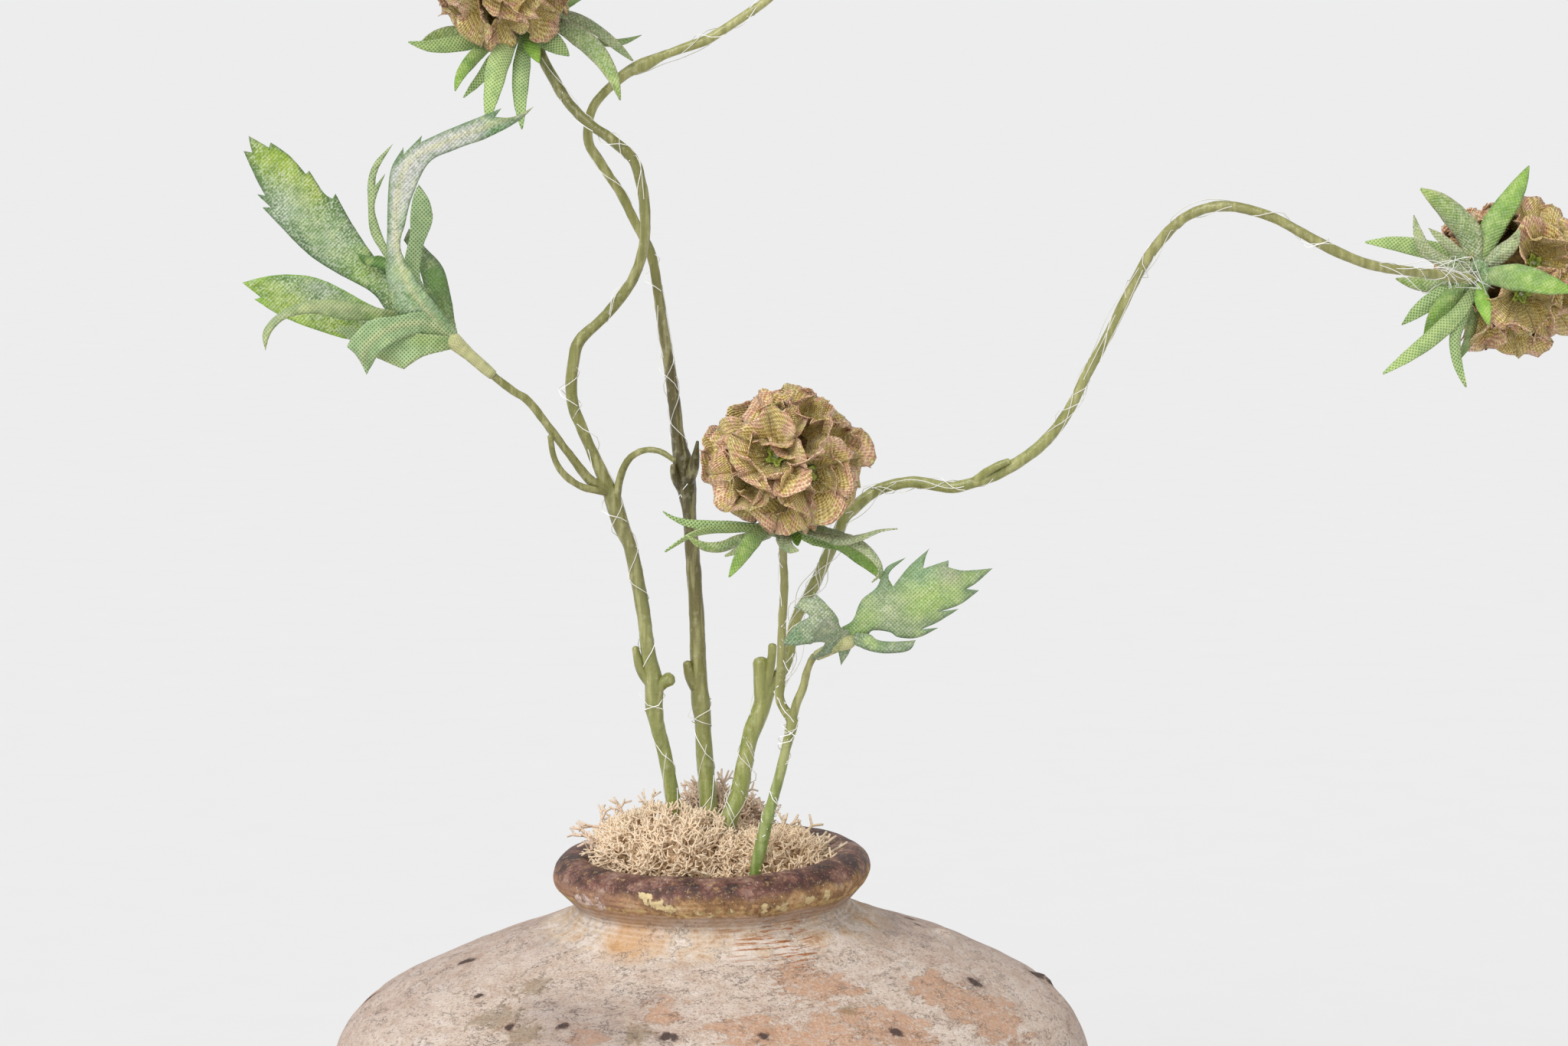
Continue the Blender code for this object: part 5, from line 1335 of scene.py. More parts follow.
# Real threads are 0.35 mm apart; drawn 1.2 mm apart, the picture shows them as threads.
LEAF_TURN = 2 * math.pi / 0.12
weave = times(*(calc("SINE", times(way, LEAF_TURN)) for way in (u, v)))
print_run = grain(place, 0.004, 5.0, 0.65)
dust = grain(place, 0.0007, 2.0, 0.7)
colour = layered(tone, (print_run, 0.5, 0.36, 0.5, "#5E8638"), (print_run, 0.52, 0.64, 0.32, "#DCE894"))
flock = times(between(dust, 0.5, 0.57), frost)
colour = over(colour, times(flock, 0.6), "#E9EEDF")
shadow = times(between(dust, 0.47, 0.4), frost)
colour = over(colour, times(shadow, 0.6), "#3E6234")
colour = over(colour, times(under, 0.3), "#CCE0AE")
gap = times(between(weave, 0.1, -0.7), between(under, 0.0, 1.0, 0.16, 0.9))
colour = over(colour, gap, "#587C42")
height = calc("MULTIPLY_ADD", dust, 0.8, weave)
surface(colour, 0.68, (0.6, 0.00018, height), Sheen_Weight=0.25, Sheen_Roughness=0.5)

# %% [markdown]
# ## Collars of narrow blades
# Under each head a ring of narrow blades spreads out. A blade is a grid: its length follows a bent
# route, its width swells and closes to a point, and its cross-section folds gently about the midrib.

# %% Blades of the collars: the ones that the picture shows are laid out one by one
BLADE_LONG = 20
BLADE_WIDE = 8
BLADE_THICK = 0.4
HIDDEN_WIDTH, HIDDEN_ROLL = 5.4, 40
BLADE_SHAPE = [(0, 0.42), (0.12, 0.62), (0.4, 1), (0.62, 0.93), (0.8, 0.66), (0.92, 0.34), (1, 0.04)]
BLADE_LOOKS = {  # colours from the ring to the tip, the edges' colour, the share of flock and of bare weave
    "print": (["#92A66D", "#88AF46", "#95BF3A"], "#769941", 0.35, 0.15),
    "frosted": (["#A5AC7F", "#92A863", "#9FBB4B"], "#B7AA8B", 0.75, 0.15),
    "bright": (["#81AA37", "#88BB2D", "#95C330"], "#7AA834", 0.12, 0.15),
    "light": (["#ACBF77", "#B9D275", "#B2D069"], "#A7C369", 0.25, 0.8),
    "woven": (["#9FBB70", "#B1CC7F", "#A9C666"], "#9BBB69", 0.15, 1),
    "grey": (["#9A9D77", "#A9AE7F", "#9FA872"], "#BBAC8E", 0.8, 0.4),
    "dark": (["#708352", "#78914D", "#7E954F"], "#8D9369", 0.5, 0.3),
}
# Each blade: its width, roll at both ends and look, then its route as (across, up, towards the camera) from
# the head's centre.
SHOWN_BLADES = {
    "middle": [
        (2.9, 30, 10, "woven", (-3, -18.8, -5), (-14.7, -18.4, -5), (-22.7, -18.2, -4), (-29.1, -17.5, -3),
         (-33.8, -15.7, -2), (-36.2, -14, -2)),
        (2.3, 30, 50, "light", (-3, -19.3, -3), (-14.7, -19.2, 0), (-21.6, -19.5, 2), (-27.2, -20.9, 4),
         (-31.3, -23.2, 5), (-35.4, -26, 6)),
        (3.5, 10, 30, "frosted", (-4, -20.2, -2), (-13.6, -22.7, 4), (-18.2, -24.5, 7), (-22.7, -24.6, 9),
         (-26.1, -23.2, 11), (-28.6, -21.2, 12)),
        (5.2, 0, 25, "print", (-3.5, -19, -2), (-7.5, -20.7, 3), (-10.7, -24.1, 8), (-13.6, -28.6, 12),
         (-16.3, -33.4, 14)),
        (2.6, 0, 30, "grey", (-5, -20.7, -8), (-12.5, -24.6, -10), (-15.2, -26.2, -12), (-17.9, -27.4, -13)),
        (4.6, 0, -20, "grey", (-1, -18.8, -2), (-0.6, -21.4, 2), (0.5, -23.8, 5), (2.1, -25.2, 7),
         (4.1, -25.6, 8)),
        (3.6, 0, 0, "bright", (2.5, -18.6, -3), (3.4, -21.4, 0), (3.9, -24.2, 2)),
        (3.4, 30, 40, "dark", (4, -19, -4), (11.4, -20, -5), (15.9, -20.9, -6), (19.6, -22, -7)),
        (2, 30, 60, "grey", (4, -19.6, 0), (11.4, -21.6, 3), (17.1, -22.7, 6), (22.7, -21.6, 8),
         (28, -19.8, 9), (33.2, -19.2, 10)),
        (4.8, 20, 20, "print", (4, -19.2, -4), (12.5, -21.4, -5), (18.2, -23.9, -6), (22.7, -27.5, -6),
         (27.3, -31.6, -5), (32.1, -36.6, -3)),
        (3, 30, 30, "grey", (7, -20.2, 0), (18.2, -22, 3), (23.9, -25.2, 6), (27.5, -29.3, 8),
         (28.2, -32.3, 9), (25.7, -35, 9)),
    ],
    "left": [
        (4.9, 5, 15, "light", (-1, -19.2, -8), (-9.5, -21.9, -4), (-16.4, -23.5, 0), (-22.8, -24.3, 3),
         (-28.9, -23.3, 5)),
        (4.2, 10, 25, "frosted", (-1, -18.5, -12), (-10.7, -19.4, -11), (-17.5, -19, -10), (-22.8, -20.3, -8),
         (-26.6, -22.6, -7)),
        (4.1, 10, 20, "print", (0, -20, -6), (-6.8, -24.4, -1), (-10.9, -29.2, 3), (-13.6, -33.8, 6),
         (-14.8, -38.1, 8)),
        (3.4, 0, 15, "woven", (1, -20.5, -8), (-3.8, -26.7, -5), (-7.2, -32.4, -2), (-10, -36.1, 0),
         (-12.7, -39.5, 2)),
        (6.6, 0, 0, "light", (3.4, -18.4, -4), (0.2, -24.4, 4), (-2.2, -30.8, 9), (-3.3, -37.7, 12),
         (-4.3, -43.5, 13), (-4.9, -48.5, 13)),
        (5.2, 0, 10, "woven", (5.4, -18.4, -6), (4.9, -26.2, 0), (4.5, -33.1, 4), (4.4, -39.9, 6),
         (4.7, -45.7, 7), (5, -49.4, 7)),
        (5, 0, 10, "bright", (6.5, -18.4, -2), (7.4, -23.5, 2), (8.7, -26.6, 4), (10, -29.4, 5)),
        (6.4, 0, 10, "woven", (7.2, -17, -6), (11.5, -20.9, -2), (15.2, -24.2, 1), (18.8, -27.2, 3)),
        (6, 10, 15, "frosted", (7.6, -14.8, -9), (15.6, -17.1, -5), (22.9, -21.7, -1), (28.2, -27.4, 2),
         (32.1, -34.2, 4), (34.1, -40.6, 5)),
        (3.6, 20, 30, "grey", (12, -12, -14), (19.1, -13.4, -15), (25.2, -16.6, -15), (30.9, -21.2, -14),
         (37.3, -27.1, -13)),
        (2.4, 30, 30, "dark", (15, -16.6, -14), (23.6, -20.1, -17), (29.3, -21, -19), (34.4, -20.5, -20),
         (39.6, -18.5, -21)),
    ],
    "top": [],
    "right": [
        (7.4, 5, 10, "print", (-12.4, -0.6, 14), (-7.8, 13.4, 17), (-2.6, 21.6, 17), (1.1, 27.4, 15),
         (3.9, 32.6, 13)),
        (7.4, 25, 35, "frosted", (-12.4, 0.6, 14), (-15.1, 11.6, 17), (-18.8, 16.2, 18), (-23.5, 21.1, 18),
         (-29.5, 25.4, 17)),
        (5.2, 0, 10, "grey", (-11, 0.4, 15), (-5.4, 5.6, 19), (-2, 9, 21), (-0.5, 13, 22)),
        (8.2, 5, 10, "print", (-11.6, -0.8, 16), (-5.6, -1.2, 23), (0.4, -2.2, 28), (7.4, -4.4, 30),
         (14.9, -6.2, 29)),
        (5.6, 15, 10, "light", (-12.8, 0.4, 15), (-20.5, 5.2, 14), (-28.7, 7.6, 13), (-37.1, 9.2, 12),
         (-45.5, 9.6, 11)),
        (3.8, 10, 30, "grey", (-14, -0.6, 16), (-25, 4.6, 17), (-28.6, 7.4, 18), (-30.4, 11.8, 18),
         (-31.5, 17.4, 17)),
        (3.2, 20, 30, "grey", (-13.2, 0.2, 16), (-18.3, 5.6, 18), (-22.6, 9.4, 19), (-27.4, 13.4, 19)),
        (5.2, 10, 20, "frosted", (-12.6, -1.6, 12), (-20.5, -3, 10), (-28.7, -2.9, 9), (-35.8, -1.3, 8)),
        (5.2, 5, 10, "woven", (-12.8, -2.4, 11), (-20.4, -5.4, 10), (-28.1, -10.4, 9), (-34, -15.4, 8)),
        (5.8, 5, 15, "print", (-12.6, -2.6, 14), (-19.4, -7, 15), (-24.4, -12.6, 15), (-28, -18.4, 14)),
        (5.2, 0, 5, "light", (-12, -2.8, 16), (-17.4, -11.4, 18), (-25.4, -19, 19), (-33.2, -25, 19),
         (-41, -30.6, 18)),
        (3.9, 10, 20, "woven", (-12.2, -3.2, 16), (-16.8, -13.6, 17), (-18.8, -19.6, 16), (-17.8, -27.4, 14),
         (-15, -34.4, 12)),
        (3.6, 10, 20, "dark", (-12, -3.4, 13), (-12.8, -14, 11), (-14.1, -20.8, 9), (-17.4, -26.6, 8)),
        (4.6, 0, 5, "bright", (-11.6, -2.2, 17), (-11.3, -8.1, 20), (-10.6, -12, 22), (-9.8, -16.2, 23)),
    ],
}
HIDDEN_BLADES = {  # the rest: turn about the head's axis, length, lift, bend, as in the CAD
    "middle": [
        (14, 19, -12, -20), (42, 24, -10, -20), (72, 28, -8, -14), (105, 25, -8, -20), (138, 19, -20, -30),
    ],
    "left": [(62, 30, -8, -20), (112, 31, -8, -24)],
    "top": [
        (5, 33, 0, -36), (38, 26, -6, -40), (66, 34, 2, -30), (98, 26, -8, -44), (126, 33, 0, -34),
        (155, 32, -4, -46), (186, 34, 2, -28), (214, 25, -10, -50), (240, 33, -6, -50), (270, 28, -14, -54),
        (300, 34, -4, -40), (332, 33, -8, -48),
    ],
    "right": [],
}


def blade_width(share):
    """Width along a blade, as a share of its widest."""
    places, widths = zip(*BLADE_SHAPE)
    return float(np.interp(share, places, widths))


def blade(route, width, roll_from, roll_to, look, chance):
    """One blade along a route, facing the camera side, rolled about its route at both ends."""
    tones, edge_tone, frost_share, woven = BLADE_LOOKS[look]
    route = [tuple(p) for p in route]
    path = curve_through(route, 0.8)
    lengths = np.concatenate([[0], np.cumsum([math.dist(a, b) for a, b in zip(path, path[1:])])])
    spots = [Vector(float(np.interp(t * lengths[-1], lengths, [p[n] for p in path])) for n in range(3))
             for t in np.linspace(0, 1, BLADE_LONG + 1)]
    fold, ripple = chance.uniform(0.25, 0.6), chance.uniform(0, ANY_TURN)
    stops = np.linspace(0, 1, len(tones))
    points, tints, frosts, flat = [], [], [], []
    for n, spot in enumerate(spots):
        share = n / BLADE_LONG
        forward = (spots[min(n + 1, BLADE_LONG)] - spots[max(n - 1, 0)]).normalized()
        side = forward.cross(toward).normalized()
        facing = side.cross(forward).normalized()
        roll = math.radians(roll_from + (roll_to - roll_from) * share)
        cos, sin = math.cos(roll), math.sin(roll)
        spread, out = side * cos + facing * sin, facing * cos - side * sin
        half = width / 2 * blade_width(share) / max(0.5, cos)
        for k in range(BLADE_WIDE + 1):
            part = 2 * k / BLADE_WIDE - 1
            crease = fold * half * (0.45 - abs(part)) * math.sin(math.pi * min(1.0, 0.15 + share))
            wave = 0.35 * math.sin(8 * share + ripple) * part * abs(part)
            points.append(spot + spread * half * part + out * (crease + wave))
            edge = abs(part) ** 4 * 0.7
            body = [np.interp(share, stops, [linear(t)[c] for t in tones]) for c in range(4)]
            tints.append([b * (1 - edge) + e * edge for b, e in zip(body, linear(edge_tone))])
            frosts.append(frost_share * (1.0 - 0.55 * share))
            flat.append((half * part, lengths[-1] * share))
    faces = []
    for n in range(BLADE_LONG):
        for k in range(BLADE_WIDE):
            a = n * (BLADE_WIDE + 1) + k
            faces.append((a, a + 1, a + BLADE_WIDE + 2, a + BLADE_WIDE + 1))
    points, faces = doubled([tuple(p) for p in points], faces, BLADE_THICK)
    size = len(points) // 2
    return points, faces, tints * 2, frosts * 2, [woven] * size + [1.0] * size, flat * 2


def hidden_route(place, turn, length, lift, bend):
    """The route of a blade that is given by its turn about the head's axis."""
    reach, height, done, made = 2.4, -COLLAR_BELOW, 0.0, []
    out = Vector((math.cos(math.radians(turn)), math.sin(math.radians(turn)), 0.0))
    for n in range(8):
        made.append(tuple(place @ (out * reach + Vector((0, 0, height)))))
        angle = math.radians(lift + bend * (done + 1 / 14))
        reach += length / 7 * math.cos(angle)
        height += length / 7 * math.sin(angle)
        done += 1 / 7
    return made


def join_sheets(name, sheets):
    """One object from several sheets with the same marks."""
    points, faces, tints, frosts, unders, flat = [], [], [], [], [], []
    for sheet in sheets:
        start = len(points)
        points += [tuple(p) for p in sheet[0]]
        faces += [tuple(start + n for n in f) for f in sheet[1]]
        tints += sheet[2]
        frosts += sheet[3]
        unders += sheet[4]
        flat += sheet[5]
    made = shape(name, points, faces, {"tint": tints, "frost": frosts, "under": unders}, flat)
    made.data.materials.append(leaf_cloth)
    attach(made, "root")
    print(name, len(faces), "faces")
    return made


def plain_sheet(points, faces, code, frost, flat):
    """A sheet with the same colour and flock all over and no bare weave."""
    size = len(points)
    return points, faces, [linear(code)] * size, [frost] * size, [0.0] * size, flat


def ring_sheet(place):
    """The small cloth ring that the blades grow from."""
    profile = [(1.9, -21.6), (4.6, -21.4), (5.6, -20.6), (5.4, -19.2), (4.4, -18.7), (1.9, -18.6)]
    sides, points = 28, []
    for wide, high in profile:
        for turn, cos, sin in circle(sides):
            lump = 1 + 0.05 * math.sin(5 * turn) + 0.03 * math.sin(11 * turn)
            points.append(tuple(place @ Vector((wide * lump * cos, wide * lump * sin, high))))
    faces = [tuple(n % len(points) for n in face) for face in bands(len(profile) + 1, sides)]
    flat = [(2 * (k % sides), 2 * (k // sides)) for k in range(len(points))]
    return plain_sheet(points, faces, "#7C9A62", 0.6, flat)


for seed, head in enumerate(HEADS):
    chance = random.Random(40 + seed)
    centre, place = Vector(HEADS[head][0]), head_frame(head)
    sheets = [ring_sheet(place)]
    for width, roll_from, roll_to, look, *route in SHOWN_BLADES[head]:
        route = [centre + across * a + upwards * b + toward * c for a, b, c in route]
        sheets.append(blade(route, width, roll_from, roll_to, look, chance))
    for row in HIDDEN_BLADES[head]:
        look = chance.choice(["print", "frosted", "light"])
        route = hidden_route(place, *row)
        sheets.append(blade(route, HIDDEN_WIDTH, HIDDEN_ROLL, HIDDEN_ROLL, look, chance))
    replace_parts(join_sheets(f"collar_{head}_blades", sheets), f"collar_{head}")

# %% [markdown]
# ## Toothed leaf sprays
# A leaf blade is drawn as an outline seen from the front and a rib that gives its depth. The outline is
# smoothed between its sharp teeth, filled with points, and joined up by a Delaunay triangulation, which
# copes with any outline. Away from the rib the blade curls back, and the rib itself stands up as a ridge.

# %% The leaves' ribs and outlines
LEFT_LEAF_SEAT = (-76.3, -21.0, 348.7)
LEFT_LEAF_FROM = (-67.0, -17.6, 340.0)
PAIR_SEAT = (41.0, -37.4, 261.0)
PAIR_FROM = (34.2, -34.4, 257.2)

# Each leaf: its rib as (x, y, z), its outline as (x, z), and its look: the colours of the body and of the
# left and right edges, shares of flock, bare weave and ridge, and blotches of (x, z, radius, colour).
SPRAY_LEAVES = {
    "big": (
        [LEFT_LEAF_SEAT, (-88, -17, 358), (-97, -14, 365.5), (-106.5, -13, 373.5), (-118.5, -15, 386),
         (-128.5, -18, 399.5), (-136.5, -20, 409.5)],
        [(-77, 351.5), (-84.5, 357), (-91.5, 364), (-96.5, 368.5), (-100.5, 373.5), (-106.5, 382.5),
         (-111.5, 392), (-112.5, 390.5), (-115, 392.5), (-119, 399), (-120, 398), (-124.5, 403.5),
         (-130, 407.5), (-130.5, 406), (-136.5, 409.5), (-135.5, 404.5), (-138, 405), (-134.5, 396.5),
         (-132, 391.5), (-134.5, 392), (-130.5, 388), (-133, 388), (-129, 383.5), (-120, 374), (-111, 368),
         (-101, 362.5), (-96, 356.5), (-88, 350.5), (-77, 347)],
        ("#8CAC5E", "#265A20", "#3C6222", 0.8, 0.15, 0.2,
         [(-124, 401, 9, "#B2CC10"), (-132, 405, 6, "#A2C010"), (-117, 394, 6, "#BACE28"),
          (-127, 388, 8, "#B6C8A8"), (-112, 377, 9, "#A8BE94"), (-104, 370, 6, "#9CBC58"),
          (-92, 358, 8, "#5A6E20"), (-84, 352, 7, "#4C601A")]),
    ),
    "low": (
        [LEFT_LEAF_SEAT, (-88.5, -16, 354.5), (-98, -14, 355.5), (-109, -15, 357.5), (-118.5, -17, 360),
         (-130.5, -19, 364), (-139, -20, 366)],
        [(-76.5, 350.5), (-82, 353.5), (-91.5, 356.5), (-99.5, 358), (-109.5, 363.5), (-115.5, 366.5),
         (-121.5, 368), (-130.5, 368), (-139, 366), (-133.5, 361.5), (-135.5, 361), (-128, 356),
         (-117.5, 351.5), (-107.5, 348.5), (-97.5, 349.5), (-88.5, 350), (-76.5, 346.5)],
        ("#9CBC6E", "#8CBC30", "#356A2E", 0.75, 0.15, 0.15,
         [(-136, 364, 6, "#A2C00C"), (-124, 358, 8, "#B4CC44"), (-112, 353, 7, "#B0CA40"),
          (-116, 364, 7, "#ABBA9E"), (-99, 356, 6, "#808A7A"), (-88, 352, 7, "#5A7A30")]),
    ),
    # The curled leaf's two darkest blotches, along the middle of its lower edge, are painted shade under its
    # curl.
    "curled": (
        [LEFT_LEAF_SEAT, (-91, -20, 356.5), (-97.5, -23, 357.5), (-108, -26, 359), (-117.5, -29, 359.5),
         (-125, -32, 357), (-130, -33, 353), (-130.5, -32, 347)],
        [(-76, 350.5), (-84.5, 354.5), (-91, 357), (-97.5, 358.5), (-103.5, 360), (-111.5, 361.5),
         (-120.5, 361), (-127.5, 357.5), (-131.5, 352.5), (-131, 347), (-129, 352.5), (-124.5, 356.5),
         (-117, 357.5), (-108.5, 355.5), (-100, 355), (-91, 354), (-76, 347.5)],
        ("#B4C286", "#98A86C", "#A4B47A", 0.2, 0.4, 0.4,
         [(-111, 356.4, 2.4, "#66784A"), (-106, 356.6, 2.6, "#748856"), (-100, 356, 3, "#8CAC50"),
          (-128, 357, 3, "#A6AC98")]),
    ),
    "front": (
        [LEFT_LEAF_SEAT, (-82.5, -25, 354), (-89.5, -29, 354.5), (-96.5, -32, 352.5), (-101.5, -32, 348),
         (-102.5, -30, 342.5)],
        [(-75.5, 350.5), (-84, 357.5), (-92, 357), (-99.5, 356), (-104.5, 352), (-107, 348), (-104, 345),
         (-101.5, 339.5), (-97, 346.5), (-91.5, 350), (-86, 351.5), (-83, 350.5), (-75.5, 347)],
        ("#98B77B", "#A2BB86", "#88A86E", 0.15, 1, 1, [(-100, 346, 6, "#8EAA70"), (-88, 354, 6, "#A0BD84")]),
    ),
    "long": (
        [LEFT_LEAF_SEAT, (-84, -26, 358.5), (-89, -28, 366), (-92, -29, 376), (-92.5, -29, 385.5),
         (-91, -29, 396.5), (-87, -28, 403.5), (-77, -28, 408.5), (-65, -28, 413), (-51.5, -28, 418.5)],
        [(-75, 350), (-76, 353), (-82, 361.5), (-85.5, 366), (-91, 376.5), (-89.5, 384.5), (-87.5, 392),
         (-82.5, 402), (-74.5, 406), (-65, 409.5), (-56.5, 414), (-51.5, 418.5), (-57.5, 415.5), (-63, 415.5),
         (-61, 418), (-70, 414.5), (-78.5, 411), (-85, 408), (-84.5, 410), (-90, 404.5), (-90, 406.5),
         (-93.5, 400.5), (-94.5, 393), (-95, 380.5), (-95.5, 368.5), (-94, 361), (-90.5, 355.5), (-81.5, 351),
         (-77, 347.5)],
        ("#DAD6D6", "#5E7E52", "#CCCCCA", 0.6, 0.1, 0.8,
         [(-63, 412, 5, "#3A8030"), (-56, 415, 4, "#7C8C74"), (-88, 395, 5, "#D6D4D0"),
          (-89, 385, 4, "#B6C89E"), (-91, 371, 7, "#A2BC8A"), (-87, 362, 8, "#8CB470"),
          (-80, 354, 8, "#86AE6A")]),
    ),
    "loop": (
        [LEFT_LEAF_SEAT, (-82.5, -22, 358), (-87.5, -22, 368), (-87.5, -20, 377.5), (-86, -18, 385),
         (-86.5, -14, 390.5), (-88.5, -9, 395)],
        [(-75, 350), (-76, 353.5), (-81.5, 358), (-84.5, 364.5), (-86, 369), (-85, 377), (-82.5, 384),
         (-83.5, 390), (-87, 394.5), (-88.5, 390.5), (-89, 385), (-89, 380), (-90.5, 373), (-90, 366),
         (-84.5, 357), (-78, 349)],
        ("#9EBD83", "#ABC48E", "#94B579", 0.15, 1, 0.3, []),
    ),
    "slim": (
        [LEFT_LEAF_SEAT, (-82, -20, 354), (-89, -18, 364), (-94.5, -17.5, 372), (-98.5, -17, 378.5),
         (-100.5, -17, 386), (-100.5, -17, 393), (-99, -16, 400), (-94, -15, 407)],
        [(-76.5, 351), (-85, 360), (-90.5, 367.5), (-95.5, 375.5), (-98.5, 383), (-99.5, 389.5), (-96.5, 398),
         (-99.5, 394.5), (-98.5, 399.5), (-94, 407), (-99.5, 401.5), (-101.5, 396), (-101.5, 388.5),
         (-101, 381), (-97.5, 374.5), (-92.5, 366.5), (-87, 356.5), (-78, 348.5)],
        ("#B0BE81", "#7E975C", "#9FB274", 0.3, 0.8, 0.3, [(-98, 400, 4, "#A6A881")]),
    ),
    "dark": (
        [LEFT_LEAF_SEAT, (-78, -15, 356.5), (-81, -11, 364), (-84.5, -8, 371), (-90.5, -5, 380)],
        [(-75, 350), (-76, 353.5), (-77.5, 361), (-80, 369.5), (-85.5, 375.5), (-90.5, 381), (-92, 377.5),
         (-89, 373), (-86.5, 367), (-84.5, 361), (-79, 354.5), (-78, 349.5)],
        ("#3E5420", "#30441A", "#74786C", 0.4, 0.3, 0.1,
         [(-82, 366, 5, "#5C9020"), (-79, 358, 4, "#628228"), (-88, 376, 4, "#284018")]),
    ),
    "under": (
        [LEFT_LEAF_SEAT, (-81.5, -26, 347.5), (-87.5, -28, 346.5), (-93.5, -28, 346.5), (-100, -24, 348.5),
         (-106.5, -20, 350.5), (-113, -17, 351.5)],
        [(-76, 350), (-86, 351.5), (-93.5, 351.5), (-105, 352.5), (-110, 352.5), (-113, 351.5), (-109, 350),
         (-103, 346), (-94.5, 342.5), (-90.5, 341), (-88.5, 342.5), (-84, 345), (-76, 346.5)],
        ("#AFCC8F", "#BBC382", "#98B773", 0.1, 1, 0.2,
         [(-85, 350, 4, "#83A01D"), (-80, 348.5, 3, "#83A01D"), (-108, 351.5, 5, "#4F6534")]),
    ),
    "side_tooth": (
        [(-87.5, -18.4, 361), (-96, -17, 370.5), (-101, -16, 372.5), (-105, -16, 374.5)],
        [(-87, 364), (-96.5, 373), (-101, 373.5), (-105, 374.5), (-103.5, 371.5), (-101, 370.5), (-96.5, 369),
         (-88.5, 361)],
        ("#4E8420", "#3A641A", "#5A8E2A", 0.1, 0.2, 0.1, []),
    ),
}
PAIR_LEAVES = {
    "lobed": (
        [PAIR_SEAT, (46, -39.5, 267), (53.5, -41, 271.5), (63, -43.5, 276), (72, -44.5, 280),
         (83.5, -43, 283.5)],
        [(39, 265), (42.5, 267.5), (45, 273.5), (49.5, 277.5), (52.5, 283.5), (58, 286.5), (53.5, 282.5),
         (53, 280), (53.5, 278), (54.5, 278), (58.5, 283.5), (65, 289.5), (64, 287.5), (63, 283.5),
         (70.5, 286), (70.5, 284), (75.5, 283), (83.5, 283.5), (79, 279.5), (75.5, 277.5), (79.5, 277),
         (74, 273), (67.5, 270.5), (73.5, 271.5), (67.5, 267.5), (62.5, 265), (67.5, 265.5), (61.5, 262.5),
         (56, 262.5), (53.5, 264), (48.5, 264.5), (47, 263), (44, 260.5), (40, 259.5)],
        ("#A3B778", "#5C7C58", "#667460", 0.4, 0.45, 0.25,
         [(42, 263.5, 4.5, "#7DAF1A"), (66, 276, 9, "#AAC958"), (59.5, 271.2, 3, "#86AF3B"),
          (71, 283, 5, "#A39E85"), (62.5, 282.5, 5, "#7DA17A"), (52.3, 280, 4, "#869C75"),
          (53, 271, 6, "#AEB78F"), (70.5, 269.4, 3, "#828B73"), (65, 265, 3, "#828B73"),
          (76.6, 282.1, 2.2, "#84A841"), (58, 264.5, 4, "#96A17A"), (47, 268, 4, "#96B35E")]),
    ),
    "low_lobe": (
        [PAIR_SEAT, (47, -40.5, 261), (53.5, -42, 260), (61, -43, 262)],
        [(40.5, 263.5), (47, 263.5), (49.5, 262), (53.5, 261.5), (61, 262), (59, 259), (53, 258),
         (47.5, 258.5), (42.5, 260), (40, 259.5)],
        ("#849677", "#6D7D63", "#6D7D63", 0.55, 0.2, 0.1, [(48, 261.7, 3.4, "#7BA43C")]),
    ),
    "back": (
        [PAIR_SEAT, (37.5, -43, 266.5), (34, -46, 270), (29.5, -46, 270.5), (25, -44, 269.5)],
        [(41.5, 264.5), (39, 265.5), (37.5, 269.5), (34, 274), (30.5, 277), (31.5, 275), (28, 275), (25, 272),
         (29, 270.5), (29.5, 269.5), (25, 266), (21.5, 261), (25, 260.5), (31.5, 261.5), (34.5, 261),
         (33, 258), (29.5, 255), (35.5, 257), (38, 259.5), (39, 253.5), (41.5, 257.5), (42, 260)],
        ("#9DA48B", "#7D8B70", "#7D8B70", 0.6, 0.3, 0.2,
         [(24.5, 263.5, 4, "#4F814F"), (36, 259, 4, "#768F74"), (30, 258, 3.4, "#6B8869"),
          (29, 272, 4, "#ADB497")]),
    ),
}
LEAF_THICK = 0.45
LEAF_CUP = 0.012
LEAF_GRAIN = 0.85


def smooth_outline(edge):
    """The outline with curves between its sharp corners, as points 0.6 mm apart."""
    count = len(edge)
    sharp = []
    for n in range(count):
        a, b, c = (Vector(edge[(n + k) % count]) for k in (-1, 0, 1))
        if (b - a).angle(c - b) > math.radians(52):
            sharp.append(n)
    sharp = sharp or [0]
    made = []
    for first, stop in zip(sharp, [*sharp[1:], sharp[0] + count]):
        run = [(*edge[n % count], 0.0) for n in range(first, stop + 1)]
        made += [p[:2] for p in curve_through(run, 0.6)[:-1]]
    return made


